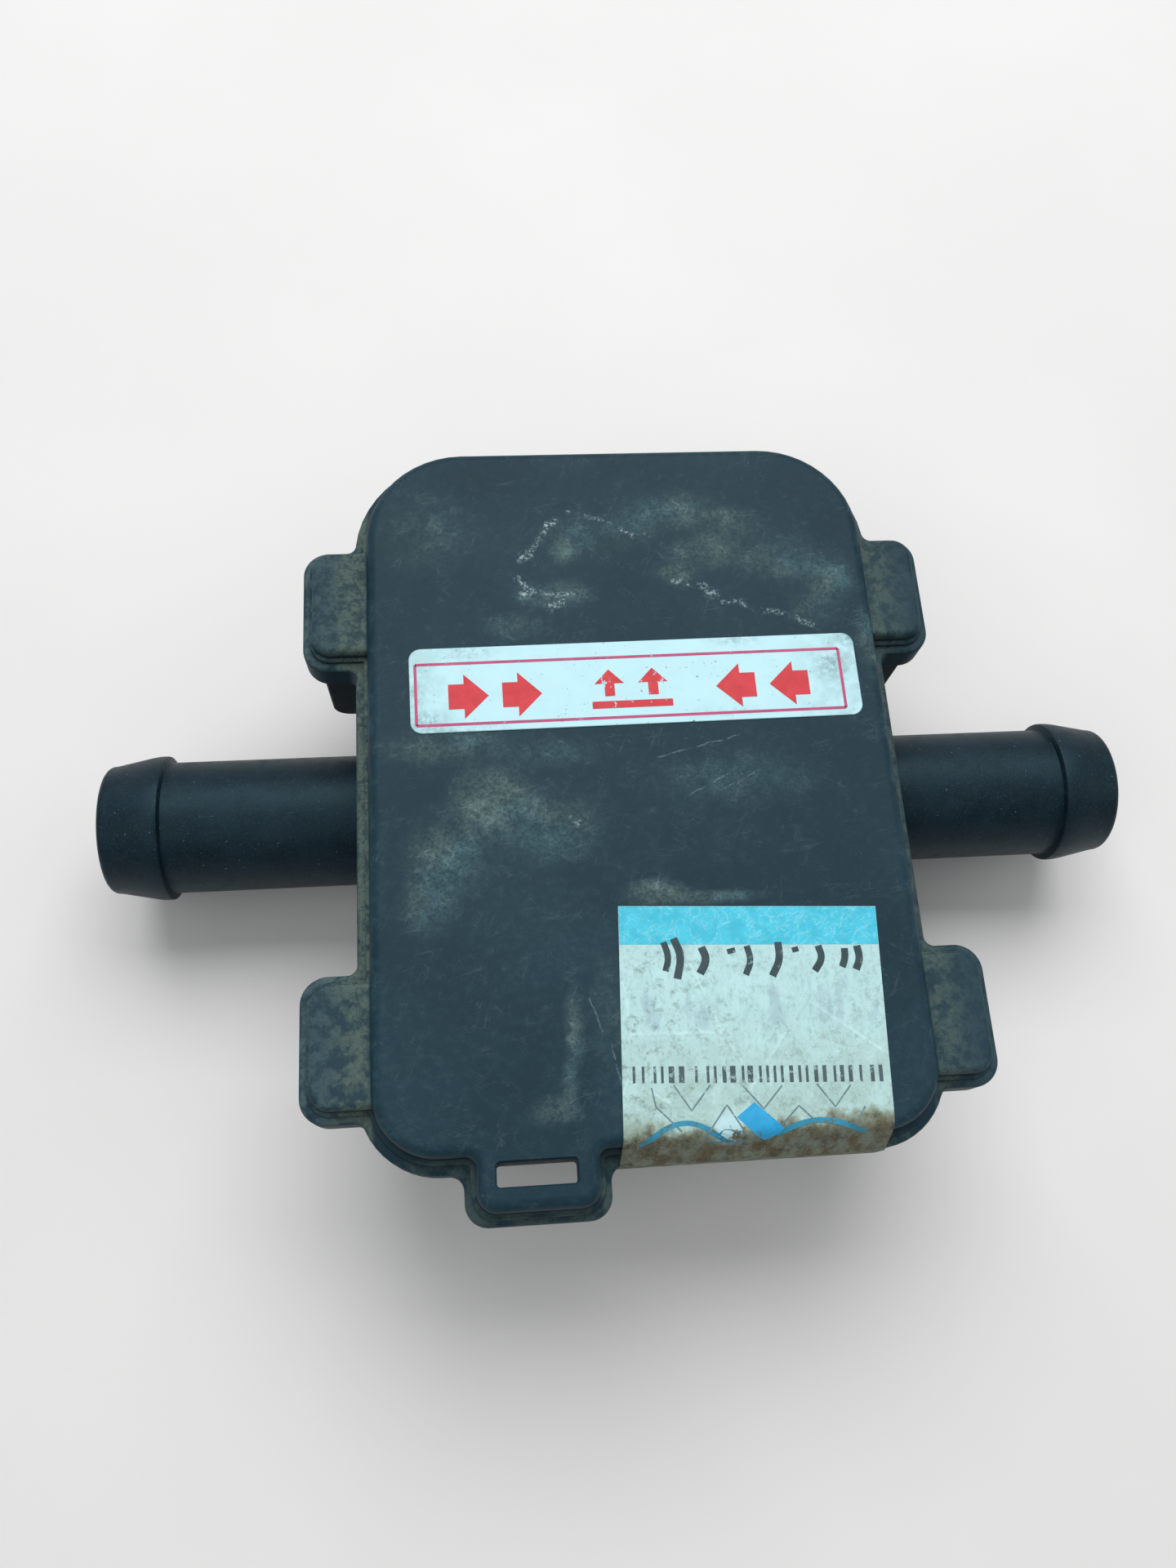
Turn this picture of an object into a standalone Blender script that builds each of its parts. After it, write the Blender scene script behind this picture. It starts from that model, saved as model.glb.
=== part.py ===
"""In-line gas pressure and temperature sensor in a clip-on plastic housing.

Frame: metres, +Z up. The origin is on the flat back face, under the middle of the gas line.
X runs along the gas line, +Y points to the edge with the vacuum nipple, +Z points out of the lid.
"""
import math

import bmesh
import bpy
from mathutils import Matrix, Vector

# ---------------------------------------------------------------- driving dimensions
# Outline of the lid's raised face. Every other outline of the housing is this one, offset.
FACE_HALF_WIDTH = 0.0219
FACE_LOW = -0.0316
FACE_HIGH = 0.0290
FACE_RADIUS_LOW = 0.0050
FACE_RADIUS_HIGH = 0.0085

FACE_ROUNDING = 0.0010          # rounding along the raised face's rim

FLANGE_OFFSET = 0.0012          # lid flange and skirt, outside
SKIRT_INNER_OFFSET = -0.0001    # skirt, inside
LID_CAVITY_OFFSET = -0.0018
GASKET_OUTER_OFFSET = -0.0004
GASKET_INNER_OFFSET = -0.0018
BASE_FLANGE_OFFSET = 0.0005
BASE_BODY_OFFSET = -0.0015
BASE_RIM_OFFSET = -0.0021
BASE_CAVITY_OFFSET = -0.0036
BOARD_OFFSET = -0.0040

# Heights above the back face
BASE_FLOOR = 0.0020
BASE_FLANGE_BOTTOM = 0.0179
BASE_FLANGE_TOP = 0.0199
BASE_RIM_TOP = 0.0225
SKIRT_BOTTOM = 0.0202
CHANNEL_TOP = 0.0218
FLANGE_TOP = 0.0232
LID_UNDERSIDE = 0.0242
LID_TOP = 0.0260
GAP = 0.0003                    # clearance kept between neighbouring pieces

# Lid ears, their snap hooks, and the base lugs that the hooks go into
EAR_CENTRES = (0.0150, -0.02285)
EAR_REACH = 0.0276
EAR_HALF_LENGTH = 0.00575
EAR_RADIUS = 0.0022
EAR_RIM = 0.0012
EAR_PAD_TOP = 0.0249
EAR_ROOF_UNDERSIDE = 0.0234
EAR_CAVITY_INNER = 0.0228
EAR_WALL = 0.0004               # least wall between an ear's hollow and its raised pad
HOOK_INNER = 0.0233
HOOK_OUTER = 0.0242
HOOK_BOTTOM = 0.0130
HOOK_HALF_LENGTH = 0.0030
BARB_TIP = 0.02485
BARB_LEDGE = 0.0169
BARB_LIP = 0.0164
BARB_FOOT = 0.0152
LUG_REACH = 0.0262
LUG_BOTTOM = 0.0115
LUG_HALF_LENGTH = 0.0050
LUG_RADIUS = 0.0016
POCKET_INNER = 0.0230
POCKET_OUTER = 0.0249
POCKET_HALF_LENGTH = 0.0036
WINDOW_LOW = 0.0150
WINDOW_HIGH = 0.0172
WINDOW_HALF_LENGTH = 0.0026

# Slotted locking tab on the lid's lower edge
TAB_LEFT = -0.0152
TAB_RIGHT = -0.0040
TAB_END = -0.0367
TAB_STEP = 0.0012
TAB_ROOF = 0.0016
SLOT_LEFT = -0.0127
SLOT_RIGHT = -0.0067
SLOT_LOW = -0.0338
SLOT_HIGH = -0.0322

# Gas line
GAS_AXIS_HEIGHT = 0.0100
GAS_BLOCK_HALF_WIDTH = 0.0083
GAS_BLOCK_TOP = 0.0180
GAS_BORE_RADIUS = 0.0040
TAIL_RADIUS = 0.0060
TAIL_SOCKET_RADIUS = TAIL_RADIUS + GAP
TAIL_INNER_END = 0.0113
TAIL_SOCKET_END = TAIL_INNER_END - GAP
TAIL_TIP = 0.0465
BARB_RADIUS = 0.0066
BARB_BACK = 0.0407
BARB_CREST = 0.0417
BARB_FRONT = 0.0460
BARB_FRONT_RADIUS = 0.0057
TIP_RADIUS = 0.0052
BARB_EASE = 0.00012             # how far the barb's corners are eased
GROOVE_BACK = 0.0140
GROOVE_FRONT = 0.0160
GROOVE_RADIUS = 0.0049
O_RING_WIRE = 0.00055

# Sensing elements: gas side on the gas block, manifold side on the vacuum block
SENSOR_FLOOR = 0.0154
SENSOR_BOTTOM = 0.0168
SENSOR_TOP = 0.0191
SENSOR_SIDE = 0.0080
SENSOR_STUB_RADIUS = 0.0012
PORT_RADIUS = 0.0010
PORT_SEAL_INNER = 0.0015
PORT_SEAL_OUTER = 0.0028
GAS_SENSOR_X = 0.0025
SENSOR_POCKET_HALF_LENGTH = 0.0065
THERMISTOR_X = -0.0075
WELL_RADIUS = 0.0013
WELL_SHELF = 0.0158
GROMMET_RADIUS = 0.0023
GROMMET_BORE = 0.0011
LEAD_OFFSET = 0.00055
LEAD_RADIUS = 0.0002
BEAD_RADIUS = 0.0009
BEAD_HEIGHT = 0.0142

# Vacuum side
VACUUM_X = 0.0090
VACUUM_SENSOR_Y = 0.0195
VACUUM_HEIGHT = 0.0065
VACUUM_BLOCK_HALF_WIDTH = 0.0050
VACUUM_BLOCK_BACK = 0.0170
NIPPLE_SHANK_RADIUS = 0.0020
NIPPLE_SOCKET_RADIUS = 0.0022
NIPPLE_INNER_END = 0.0226
NIPPLE_TIP = 0.0380
NIPPLE_BORE_RADIUS = 0.0011
NIPPLE_TIP_RADIUS = 0.0021
NIPPLE_NOSE_RADIUS = 0.0023
NIPPLE_BARB_RADIUS = 0.0029
NIPPLE_BARB_FRONT = 0.0355
NIPPLE_BARB_BACK = 0.0352
NIPPLE_NECK_RADIUS = 0.0024
NIPPLE_COLLAR_RADIUS = 0.0030
NIPPLE_COLLAR_END = 0.0289
FILTER_RADIUS = 0.0019
FILTER_BACK = 0.0204

# Connector: a recessed six-way socket behind the lower wall
SOCKET_X = -0.0096
SOCKET_HALF_WIDTH = 0.0043
SOCKET_LOW = 0.0098
SOCKET_HIGH = 0.0162
SOCKET_BACK = -0.0205
SHROUD_WALL = 0.0012
SHROUD_FRONT = -0.0311
SOCKET_BLOCK_BACK = -0.0185
SOCKET_BLOCK_HALF_WIDTH = 0.0060
SOCKET_BLOCK_TOP = 0.0180
PIN_PITCH = 0.00254
PIN_RADIUS = 0.00032
PIN_TIP = -0.0262
PIN_RISE_UPPER = -0.0172
PIN_TOP = 0.0217
PIN_BEND = 0.0007

# Circuit board and what is on it
BOARD_BOTTOM = 0.0194
BOARD_TOP = 0.0210
BOARD_LOW = -0.0240
POST_X = 0.0152
POST_HIGH_Y = 0.0212
POST_LOW_Y = -0.0140
POST_RADIUS = 0.0022
POST_HOLE_RADIUS = 0.00115
POST_HOLE_BOTTOM = 0.0080
SCREW_HEAD_RADIUS = 0.0017
SCREW_HEAD_HEIGHT = 0.0012
SCREW_SHANK_RADIUS = 0.0008
SCREW_FLAT_RADIUS = 0.0009      # flat middle of the domed head
SCREW_SHOULDER_RADIUS = 0.0015
SCREW_DOME = 0.0007             # how far the dome falls to the head's side
SCREW_POINT = 0.0010
SCREW_END = 0.0110
CHIP_BOTTOM = BOARD_TOP + GAP
PROCESSOR_SPOT = (-0.0020, 0.0085)
PROCESSOR_SIZE = (0.0070, 0.0070, 0.0014)   # length, width, height
REGULATOR_SPOT = (0.0100, -0.0120)
REGULATOR_SIZE = (0.0065, 0.0062, 0.0022)
CAPACITOR_X = 0.0020
CAPACITOR_ROWS = (-0.0100, -0.0185)
CAPACITOR_SIZE = (0.0043, 0.0073, 0.0020)
CHIP_COLOUR = (0.025, 0.025, 0.027)
CAPACITOR_COLOUR = (0.72, 0.47, 0.12)

# Labels
LABEL_THICKNESS = 0.0002
LABEL_CENTRE = (0.00070, 0.00598)
LABEL_HALF_SIZE = (0.01905, 0.00382)
LABEL_TILT = math.radians(0.5)
LABEL_RADIUS = 0.0010
SEAL_LEFT = -0.0027
SEAL_RIGHT = 0.0180
SEAL_START = -0.0138
SEAL_END_HEIGHT = 0.0085
SEAL_SLANT = 0.0025             # height over which the lower half comes in from flange to wall

ROUND_SIDES = 32                # sides of a round piece
SMALL_SIDES = 16                # sides of a small round piece


# ---------------------------------------------------------------- scene and materials
for old in list(bpy.data.objects):
    bpy.data.objects.remove(old, do_unlink=True)

pieces = bpy.data.collections.new("inline_gas_sensor")
shaping = bpy.data.collections.new("shaping_solids")
bpy.context.scene.collection.children.link(pieces)
bpy.context.scene.collection.children.link(shaping)


def material(name, colour, roughness, metallic=0.0):
    """A plain Principled material."""
    made = bpy.data.materials.new(name)
    made.use_nodes = True
    shader = made.node_tree.nodes["Principled BSDF"]
    shader.inputs["Base Color"].default_value = (*colour, 1.0)
    shader.inputs["Roughness"].default_value = roughness
    shader.inputs["Metallic"].default_value = metallic
    return made


def finish(piece, colour, roughness, metallic=0.0):
    """Make a solid a finished piece: it gets its own material and leaves the shaping solids."""
    shaping.objects.unlink(piece)
    pieces.objects.link(piece)
    piece.hide_render = False
    piece.display_type = "TEXTURED"
    piece.data.materials.clear()
    piece.data.materials.append(material(piece.name + "_material", colour, roughness, metallic))
    return piece


def place(name, mesh, matrix=None):
    """Put a mesh in the scene as a hidden shaping solid."""
    made = bpy.data.objects.new(name, mesh)
    shaping.objects.link(made)
    made.matrix_world = matrix or Matrix.Identity(4)
    made.hide_render = True
    made.display_type = "WIRE"
    return made


# ---------------------------------------------------------------- outlines
def arc(x, y, radius, start, end, steps):
    """Points along a round corner, with angles in degrees."""
    angles = [math.radians(start + (end - start) * step / steps) for step in range(steps + 1)]
    return [(x + radius * math.cos(angle), y + radius * math.sin(angle)) for angle in angles]


def rounded(left, right, low, high, radius_low, radius_high, steps=5):
    """A rectangle with its two lower corners and its two upper corners rounded."""
    points = arc(left + radius_low, low + radius_low, radius_low, 180, 270, steps)
    points += arc(right - radius_low, low + radius_low, radius_low, 270, 360, steps)
    points += arc(right - radius_high, high - radius_high, radius_high, 0, 90, steps)
    points += arc(left + radius_high, high - radius_high, radius_high, 90, 180, steps)
    return points


def housing_outline(offset):
    """The outline of the lid's raised face, moved out by offset."""
    half = FACE_HALF_WIDTH + offset
    return rounded(-half, half, FACE_LOW - offset, FACE_HIGH + offset,
                   FACE_RADIUS_LOW + offset, FACE_RADIUS_HIGH + offset)


def strip(path, thickness):
    """The outline of a thin strip that lies on the left side of a path of straight runs."""
    path = [Vector(point) for point in path]
    outer = []
    for index, point in enumerate(path):
        before = (point - path[index - 1]).normalized() if index else None
        after = (path[index + 1] - point).normalized() if index < len(path) - 1 else None
        directions = [run for run in (before, after) if run is not None]
        normals = [Vector((-run.y, run.x)) for run in directions]
        middle = sum(normals, Vector((0.0, 0.0))).normalized()
        outer.append(point + middle * thickness / middle.dot(normals[0]))
    return [tuple(point) for point in path + outer[::-1]]


# ---------------------------------------------------------------- solids
TURN_TO = {"X": Matrix(((0, 0, 1, 0), (1, 0, 0, 0), (0, 1, 0, 0), (0, 0, 0, 1))),
           "Y": Matrix.Rotation(math.pi / 2, 4, "X"),
           "Z": Matrix.Identity(4)}
AXIS = {"X": Vector((1, 0, 0)), "Y": Vector((0, 1, 0)), "Z": Vector((0, 0, 1))}


def weld(mesh):
    """Join a converted curve's caps to its walls and point its faces out."""
    shape = bmesh.new()
    shape.from_mesh(mesh)
    bmesh.ops.remove_doubles(shape, verts=shape.verts, dist=1e-6)
    bmesh.ops.recalc_face_normals(shape, faces=shape.faces)
    shape.to_mesh(mesh)
    shape.free()


def from_curve(name, curve, matrix):
    """Turn a curve into a welded mesh object in the same place."""
    drawn = bpy.data.objects.new(name + "_curve", curve)
    shaping.objects.link(drawn)
    drawn.matrix_world = matrix
    bpy.context.view_layer.update()
    seen = drawn.evaluated_get(bpy.context.evaluated_depsgraph_get())
    mesh = bpy.data.meshes.new_from_object(seen)
    weld(mesh)
    made = place(name, mesh, drawn.matrix_world)
    bpy.data.objects.remove(drawn, do_unlink=True)
    return made


def slab(name, outline, low, high, axis="Z"):
    """A flat outline extruded from low to high along an axis.

    The outline lies in XY for axis Z, in XZ for axis Y and in YZ for axis X.
    """
    curve = bpy.data.curves.new(name, "CURVE")
    curve.dimensions = "2D"
    curve.fill_mode = "BOTH"
    curve.extrude = (high - low) / 2
    spline = curve.splines.new("POLY")
    spline.points.add(len(outline) - 1)
    for point, (u, v) in zip(spline.points, outline):
        point.co = (u, v, 0.0, 1.0)
    spline.use_cyclic_u = True
    middle = AXIS[axis] * (low + high) / 2
    return from_curve(name, curve, Matrix.Translation(middle) @ TURN_TO[axis])


def round_rim(solid, width, segments=3):
    """Round the edges along the top rim of an upright slab."""
    shape = bmesh.new()
    shape.from_mesh(solid.data)
    top = max(vertex.co.z for vertex in shape.verts)
    rim = [edge for edge in shape.edges
           if all(vertex.co.z > top - 1e-6 for vertex in edge.verts) and edge.calc_face_angle() > 1.0]
    bmesh.ops.bevel(shape, geom=rim, offset=width, segments=segments, profile=0.5, affect="EDGES")
    shape.to_mesh(solid.data)
    shape.free()
    return solid


def box(name, left, right, near, far, bottom, top):
    """A block between two opposite corners."""
    shape = bmesh.new()
    bmesh.ops.create_cube(shape, size=1.0)
    bmesh.ops.scale(shape, vec=(right - left, far - near, top - bottom), verts=shape.verts)
    middle = Vector((left + right, near + far, bottom + top)) / 2
    mesh = bpy.data.meshes.new(name)
    shape.to_mesh(mesh)
    shape.free()
    return place(name, mesh, Matrix.Translation(middle))


def rod(name, centre, radius, low, high, axis="Z", sides=ROUND_SIDES):
    """A cylinder from low to high along an axis; centre gives the other two coordinates."""
    shape = bmesh.new()
    bmesh.ops.create_cone(shape, cap_ends=True, segments=sides, radius1=radius, radius2=radius,
                          depth=high - low)
    mesh = bpy.data.meshes.new(name)
    shape.to_mesh(mesh)
    shape.free()
    across = {"X": (0.0, *centre), "Y": (centre[0], 0.0, centre[1]), "Z": (*centre, 0.0)}[axis]
    middle = Vector(across) + AXIS[axis] * (low + high) / 2
    return place(name, mesh, Matrix.Translation(middle) @ TURN_TO[axis])


def turned(name, profile, matrix, steps=ROUND_SIDES, closed=True):
    """A turned solid about local Z. The profile is (radius, height), down its outer side first."""
    mesh = bpy.data.meshes.new(name)
    count = len(profile)
    edges = [(index, (index + 1) % count) for index in range(count if closed else count - 1)]
    mesh.from_pydata([(radius, 0.0, height) for radius, height in profile], edges, [])
    made = place(name, mesh, matrix)
    screw = made.modifiers.new("turn", "SCREW")
    screw.axis = "Z"
    screw.steps = steps
    screw.render_steps = steps
    screw.use_merge_vertices = True
    screw.merge_threshold = 1e-6
    screw.use_smooth_shade = True
    return made


def ring(name, major, minor, matrix, steps=ROUND_SIDES, around=10):
    """A round seal: a circle of wire radius minor turned at radius major."""
    angles = [math.radians(90 - 360 * step / around) for step in range(around)]
    profile = [(major + minor * math.cos(angle), minor * math.sin(angle)) for angle in angles]
    return turned(name, profile, matrix, steps)


def combine(piece, operation, solids):
    """Give a piece one boolean step for each solid."""
    for solid in solids:
        boolean = piece.modifiers.new(solid.name, "BOOLEAN")
        boolean.operation = operation
        boolean.solver = "EXACT"
        boolean.object = solid
    return piece


def join(piece, *solids):
    """Add solids to a piece."""
    return combine(piece, "UNION", solids)


def cut(piece, *solids):
    """Take solids out of a piece."""
    return combine(piece, "DIFFERENCE", solids)


def soften(piece, width, segments=2):
    """Round a moulded piece's sharp edges."""
    bevel = piece.modifiers.new("edges", "BEVEL")
    bevel.width = width
    bevel.segments = segments
    bevel.limit_method = "ANGLE"
    bevel.angle_limit = math.radians(40)
    return piece


def mirrored_x(outline, side):
    """An outline on the +X side, moved to the given side (+1 or -1) of the YZ plane."""
    if side > 0:
        return outline
    return [(-x, y) for x, y in reversed(outline)]


# ---------------------------------------------------------------- lid
def snap_hooks(lid):
    """Four arms that reach down from the ears, each with a barb near its foot."""
    for row, centre in zip(("upper", "lower"), EAR_CENTRES):
        for side, word in ((-1, "left"), (1, "right")):
            name = f"{row}_{word}_hook"
            profile = [(HOOK_INNER, HOOK_BOTTOM), (HOOK_OUTER, HOOK_BOTTOM), (HOOK_OUTER, BARB_FOOT),
                       (BARB_TIP, BARB_LIP), (BARB_TIP, BARB_LEDGE), (HOOK_OUTER, BARB_LEDGE),
                       (HOOK_OUTER, EAR_ROOF_UNDERSIDE + EAR_RIM / 2),
                       (HOOK_INNER, EAR_ROOF_UNDERSIDE + EAR_RIM / 2)]
            join(lid, slab(name, mirrored_x(profile, side), centre - HOOK_HALF_LENGTH,
                           centre + HOOK_HALF_LENGTH, "Y"))


def ear_solids():
    """The rims, raised pads and hollows of the four ears."""
    rims, pads, hollows = [], [], []
    inner = FACE_HALF_WIDTH - FLANGE_OFFSET
    for row, centre in zip(("upper", "lower"), EAR_CENTRES):
        low, high = centre - EAR_HALF_LENGTH, centre + EAR_HALF_LENGTH
        for side, word in ((-1, "left"), (1, "right")):
            name = f"{row}_{word}_ear"
            rim = rounded(inner - EAR_RADIUS, EAR_REACH, low, high, EAR_RADIUS, EAR_RADIUS)
            rims.append(slab(name + "_rim", mirrored_x(rim, side), SKIRT_BOTTOM, FLANGE_TOP))
            pad_radius = EAR_RADIUS - EAR_RIM / 2
            pad = rounded(inner - pad_radius, EAR_REACH - EAR_RIM, low + EAR_RIM, high - EAR_RIM,
                          pad_radius, pad_radius)
            pads.append(round_rim(slab(name + "_pad", mirrored_x(pad, side), CHANNEL_TOP, EAR_PAD_TOP),
                                  EAR_RIM / 2, 2))
            inset = EAR_RIM + EAR_WALL
            hollow_radius = pad_radius - EAR_WALL
            hollow = rounded(EAR_CAVITY_INNER, EAR_REACH - inset, low + inset, high - inset,
                             hollow_radius, hollow_radius)
            hollows.append(slab(name + "_hollow", mirrored_x(hollow, side), SKIRT_BOTTOM - GAP,
                                EAR_ROOF_UNDERSIDE))
    return rims, pads, hollows


def make_lid():
    """The lid: raised face, flange with a skirt, four hooked ears and a slotted tab."""
    lid = round_rim(slab("lid", housing_outline(0.0), CHANNEL_TOP, LID_TOP), FACE_ROUNDING)
    flange = slab("lid_flange", housing_outline(FLANGE_OFFSET), SKIRT_BOTTOM, FLANGE_TOP)
    rims, pads, hollows = ear_solids()
    tab_radius = 1.5 * TAB_STEP
    tab_top = FACE_LOW + 2 * TAB_STEP
    tab_rim = slab("tab_rim", rounded(TAB_LEFT, TAB_RIGHT, TAB_END, tab_top, tab_radius, TAB_STEP),
                   SKIRT_BOTTOM, FLANGE_TOP)
    tab_pad = slab("tab_pad", rounded(TAB_LEFT + TAB_STEP, TAB_RIGHT - TAB_STEP, TAB_END + TAB_STEP,
                                      tab_top, TAB_STEP, TAB_STEP), CHANNEL_TOP, LID_TOP)
    round_rim(tab_pad, TAB_STEP / 2, 2)
    join(lid, flange, tab_rim, tab_pad, *rims, *pads)
    cavity = slab("lid_cavity", housing_outline(LID_CAVITY_OFFSET), SKIRT_BOTTOM - GAP, LID_UNDERSIDE)
    channel = slab("seal_channel", housing_outline(SKIRT_INNER_OFFSET), SKIRT_BOTTOM - GAP, CHANNEL_TOP)
    tab_hollow = box("tab_hollow", TAB_LEFT + 2 * TAB_STEP, TAB_RIGHT - 2 * TAB_STEP,
                     TAB_END + 2 * TAB_STEP, FACE_LOW - FLANGE_OFFSET + 2 * GAP,
                     SKIRT_BOTTOM - GAP, LID_TOP - TAB_ROOF)
    slot = box("tab_slot", SLOT_LEFT, SLOT_RIGHT, SLOT_LOW, SLOT_HIGH, SKIRT_BOTTOM - GAP, LID_TOP + GAP)
    cut(lid, cavity, channel, tab_hollow, slot, *hollows)
    snap_hooks(lid)
    return finish(lid, (0.030, 0.036, 0.042), 0.55)


# ---------------------------------------------------------------- base housing
def lug_solids():
    """The four lugs under the ears, and the pockets and windows for the hooks."""
    lugs, openings = [], []
    for row, centre in zip(("upper", "lower"), EAR_CENTRES):
        for side, word in ((-1, "left"), (1, "right")):
            name = f"{row}_{word}_lug"
            inner = FACE_HALF_WIDTH + 2 * BASE_BODY_OFFSET
            profile = [(inner, LUG_BOTTOM)]
            profile += arc(LUG_REACH - LUG_RADIUS, LUG_BOTTOM + LUG_RADIUS, LUG_RADIUS, 270, 360, 4)
            profile += [(LUG_REACH, BASE_FLANGE_TOP), (inner, BASE_FLANGE_TOP)]
            lugs.append(slab(name, mirrored_x(profile, side), centre - LUG_HALF_LENGTH,
                             centre + LUG_HALF_LENGTH, "Y"))
            left, right = sorted((side * POCKET_INNER, side * POCKET_OUTER))
            openings.append(box(name + "_pocket", left, right, centre - POCKET_HALF_LENGTH,
                                centre + POCKET_HALF_LENGTH, LUG_BOTTOM - GAP, BASE_FLANGE_TOP + GAP))
            left, right = sorted((side * (POCKET_OUTER - GAP), side * (LUG_REACH + GAP)))
            openings.append(box(name + "_window", left, right, centre - WINDOW_HALF_LENGTH,
                                centre + WINDOW_HALF_LENGTH, WINDOW_LOW, WINDOW_HIGH))
    return lugs, openings


def gas_block_solids():
    """The block across the middle of the base, and the passages in it."""
    half = FACE_HALF_WIDTH + BASE_BODY_OFFSET
    inner = FACE_HALF_WIDTH + (BASE_BODY_OFFSET + BASE_CAVITY_OFFSET) / 2
    block = box("gas_block", -inner, inner, -GAS_BLOCK_HALF_WIDTH, GAS_BLOCK_HALF_WIDTH,
                BASE_FLOOR / 2, GAS_BLOCK_TOP)
    line = (0.0, GAS_AXIS_HEIGHT)
    bore = rod("gas_bore", line, GAS_BORE_RADIUS, -TAIL_INNER_END, TAIL_INNER_END, "X")
    sockets = [rod(f"tail_socket_{word}", line, TAIL_SOCKET_RADIUS, low, high, "X")
               for word, low, high in (("left", -half - GAP, -TAIL_SOCKET_END),
                                       ("right", TAIL_SOCKET_END, half + GAP))]
    pocket = box("sensor_pocket", GAS_SENSOR_X - SENSOR_POCKET_HALF_LENGTH,
                 GAS_SENSOR_X + SENSOR_POCKET_HALF_LENGTH, -SENSOR_POCKET_HALF_LENGTH,
                 SENSOR_POCKET_HALF_LENGTH, SENSOR_FLOOR, GAS_BLOCK_TOP + GAP)
    port = rod("gas_port", (GAS_SENSOR_X, 0.0), PORT_RADIUS, GAS_AXIS_HEIGHT, SENSOR_FLOOR + GAP,
               sides=SMALL_SIDES)
    well = rod("thermistor_well", (THERMISTOR_X, 0.0), WELL_RADIUS, GAS_AXIS_HEIGHT,
               WELL_SHELF + GAP, sides=SMALL_SIDES)
    seat = rod("grommet_seat", (THERMISTOR_X, 0.0), GROMMET_RADIUS + GAP, WELL_SHELF,
               GAS_BLOCK_TOP + GAP, sides=SMALL_SIDES)
    return [block], [bore, *sockets, pocket, port, well, seat]


def vacuum_block_solids():
    """The block behind the vacuum nipple, and the passage that turns up to its sensor."""
    wall = FACE_HIGH + BASE_BODY_OFFSET
    block = box("vacuum_block", VACUUM_X - VACUUM_BLOCK_HALF_WIDTH, VACUUM_X + VACUUM_BLOCK_HALF_WIDTH,
                VACUUM_BLOCK_BACK, wall - GAP, BASE_FLOOR / 2, SENSOR_FLOOR)
    bore = rod("nipple_socket", (VACUUM_X, VACUUM_HEIGHT), NIPPLE_SOCKET_RADIUS,
               VACUUM_SENSOR_Y - PORT_RADIUS, wall + GAP, "Y", sides=SMALL_SIDES)
    port = rod("vacuum_port", (VACUUM_X, VACUUM_SENSOR_Y), PORT_RADIUS, VACUUM_HEIGHT,
               SENSOR_FLOOR + GAP, sides=SMALL_SIDES)
    return [block], [bore, port]


def socket_solids():
    """The connector block with its shroud, the socket and the six pin holes."""
    wall = FACE_LOW - BASE_BODY_OFFSET
    block = box("socket_block", SOCKET_X - SOCKET_BLOCK_HALF_WIDTH, SOCKET_X + SOCKET_BLOCK_HALF_WIDTH,
                wall + GAP, SOCKET_BLOCK_BACK, BASE_FLOOR / 2, SOCKET_BLOCK_TOP)
    frame = rounded(SOCKET_X - SOCKET_HALF_WIDTH - SHROUD_WALL, SOCKET_X + SOCKET_HALF_WIDTH + SHROUD_WALL,
                    SOCKET_LOW - SHROUD_WALL, SOCKET_HIGH + SHROUD_WALL, SHROUD_WALL, SHROUD_WALL, 3)
    shroud = slab("socket_shroud", frame, SHROUD_FRONT, SOCKET_BACK, "Y")
    cavity = box("socket_cavity", SOCKET_X - SOCKET_HALF_WIDTH, SOCKET_X + SOCKET_HALF_WIDTH,
                 SHROUD_FRONT - GAP, SOCKET_BACK, SOCKET_LOW, SOCKET_HIGH)
    holes = [rod(f"pin_hole_{number + 1}", (x, z), PIN_RADIUS + GAP, SOCKET_BACK - GAP,
                 SOCKET_BLOCK_BACK + GAP, "Y", sides=SMALL_SIDES // 2)
             for number, (x, z, rise) in enumerate(pin_places())]
    return [block, shroud], [cavity, *holes]


def pin_places():
    """The six pins, upper row first: across, height in the socket, and where each turns up."""
    middle = (SOCKET_LOW + SOCKET_HIGH) / 2
    return [(SOCKET_X + column * PIN_PITCH, middle + row * PIN_PITCH / 2,
             PIN_RISE_UPPER + (PIN_PITCH if row < 0 else 0.0))
            for row in (1, -1) for column in (-1, 0, 1)]


def post_places():
    """Where the four posts that carry the board stand."""
    return [(side * POST_X, y) for y in (POST_HIGH_Y, POST_LOW_Y) for side in (-1, 1)]


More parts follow.
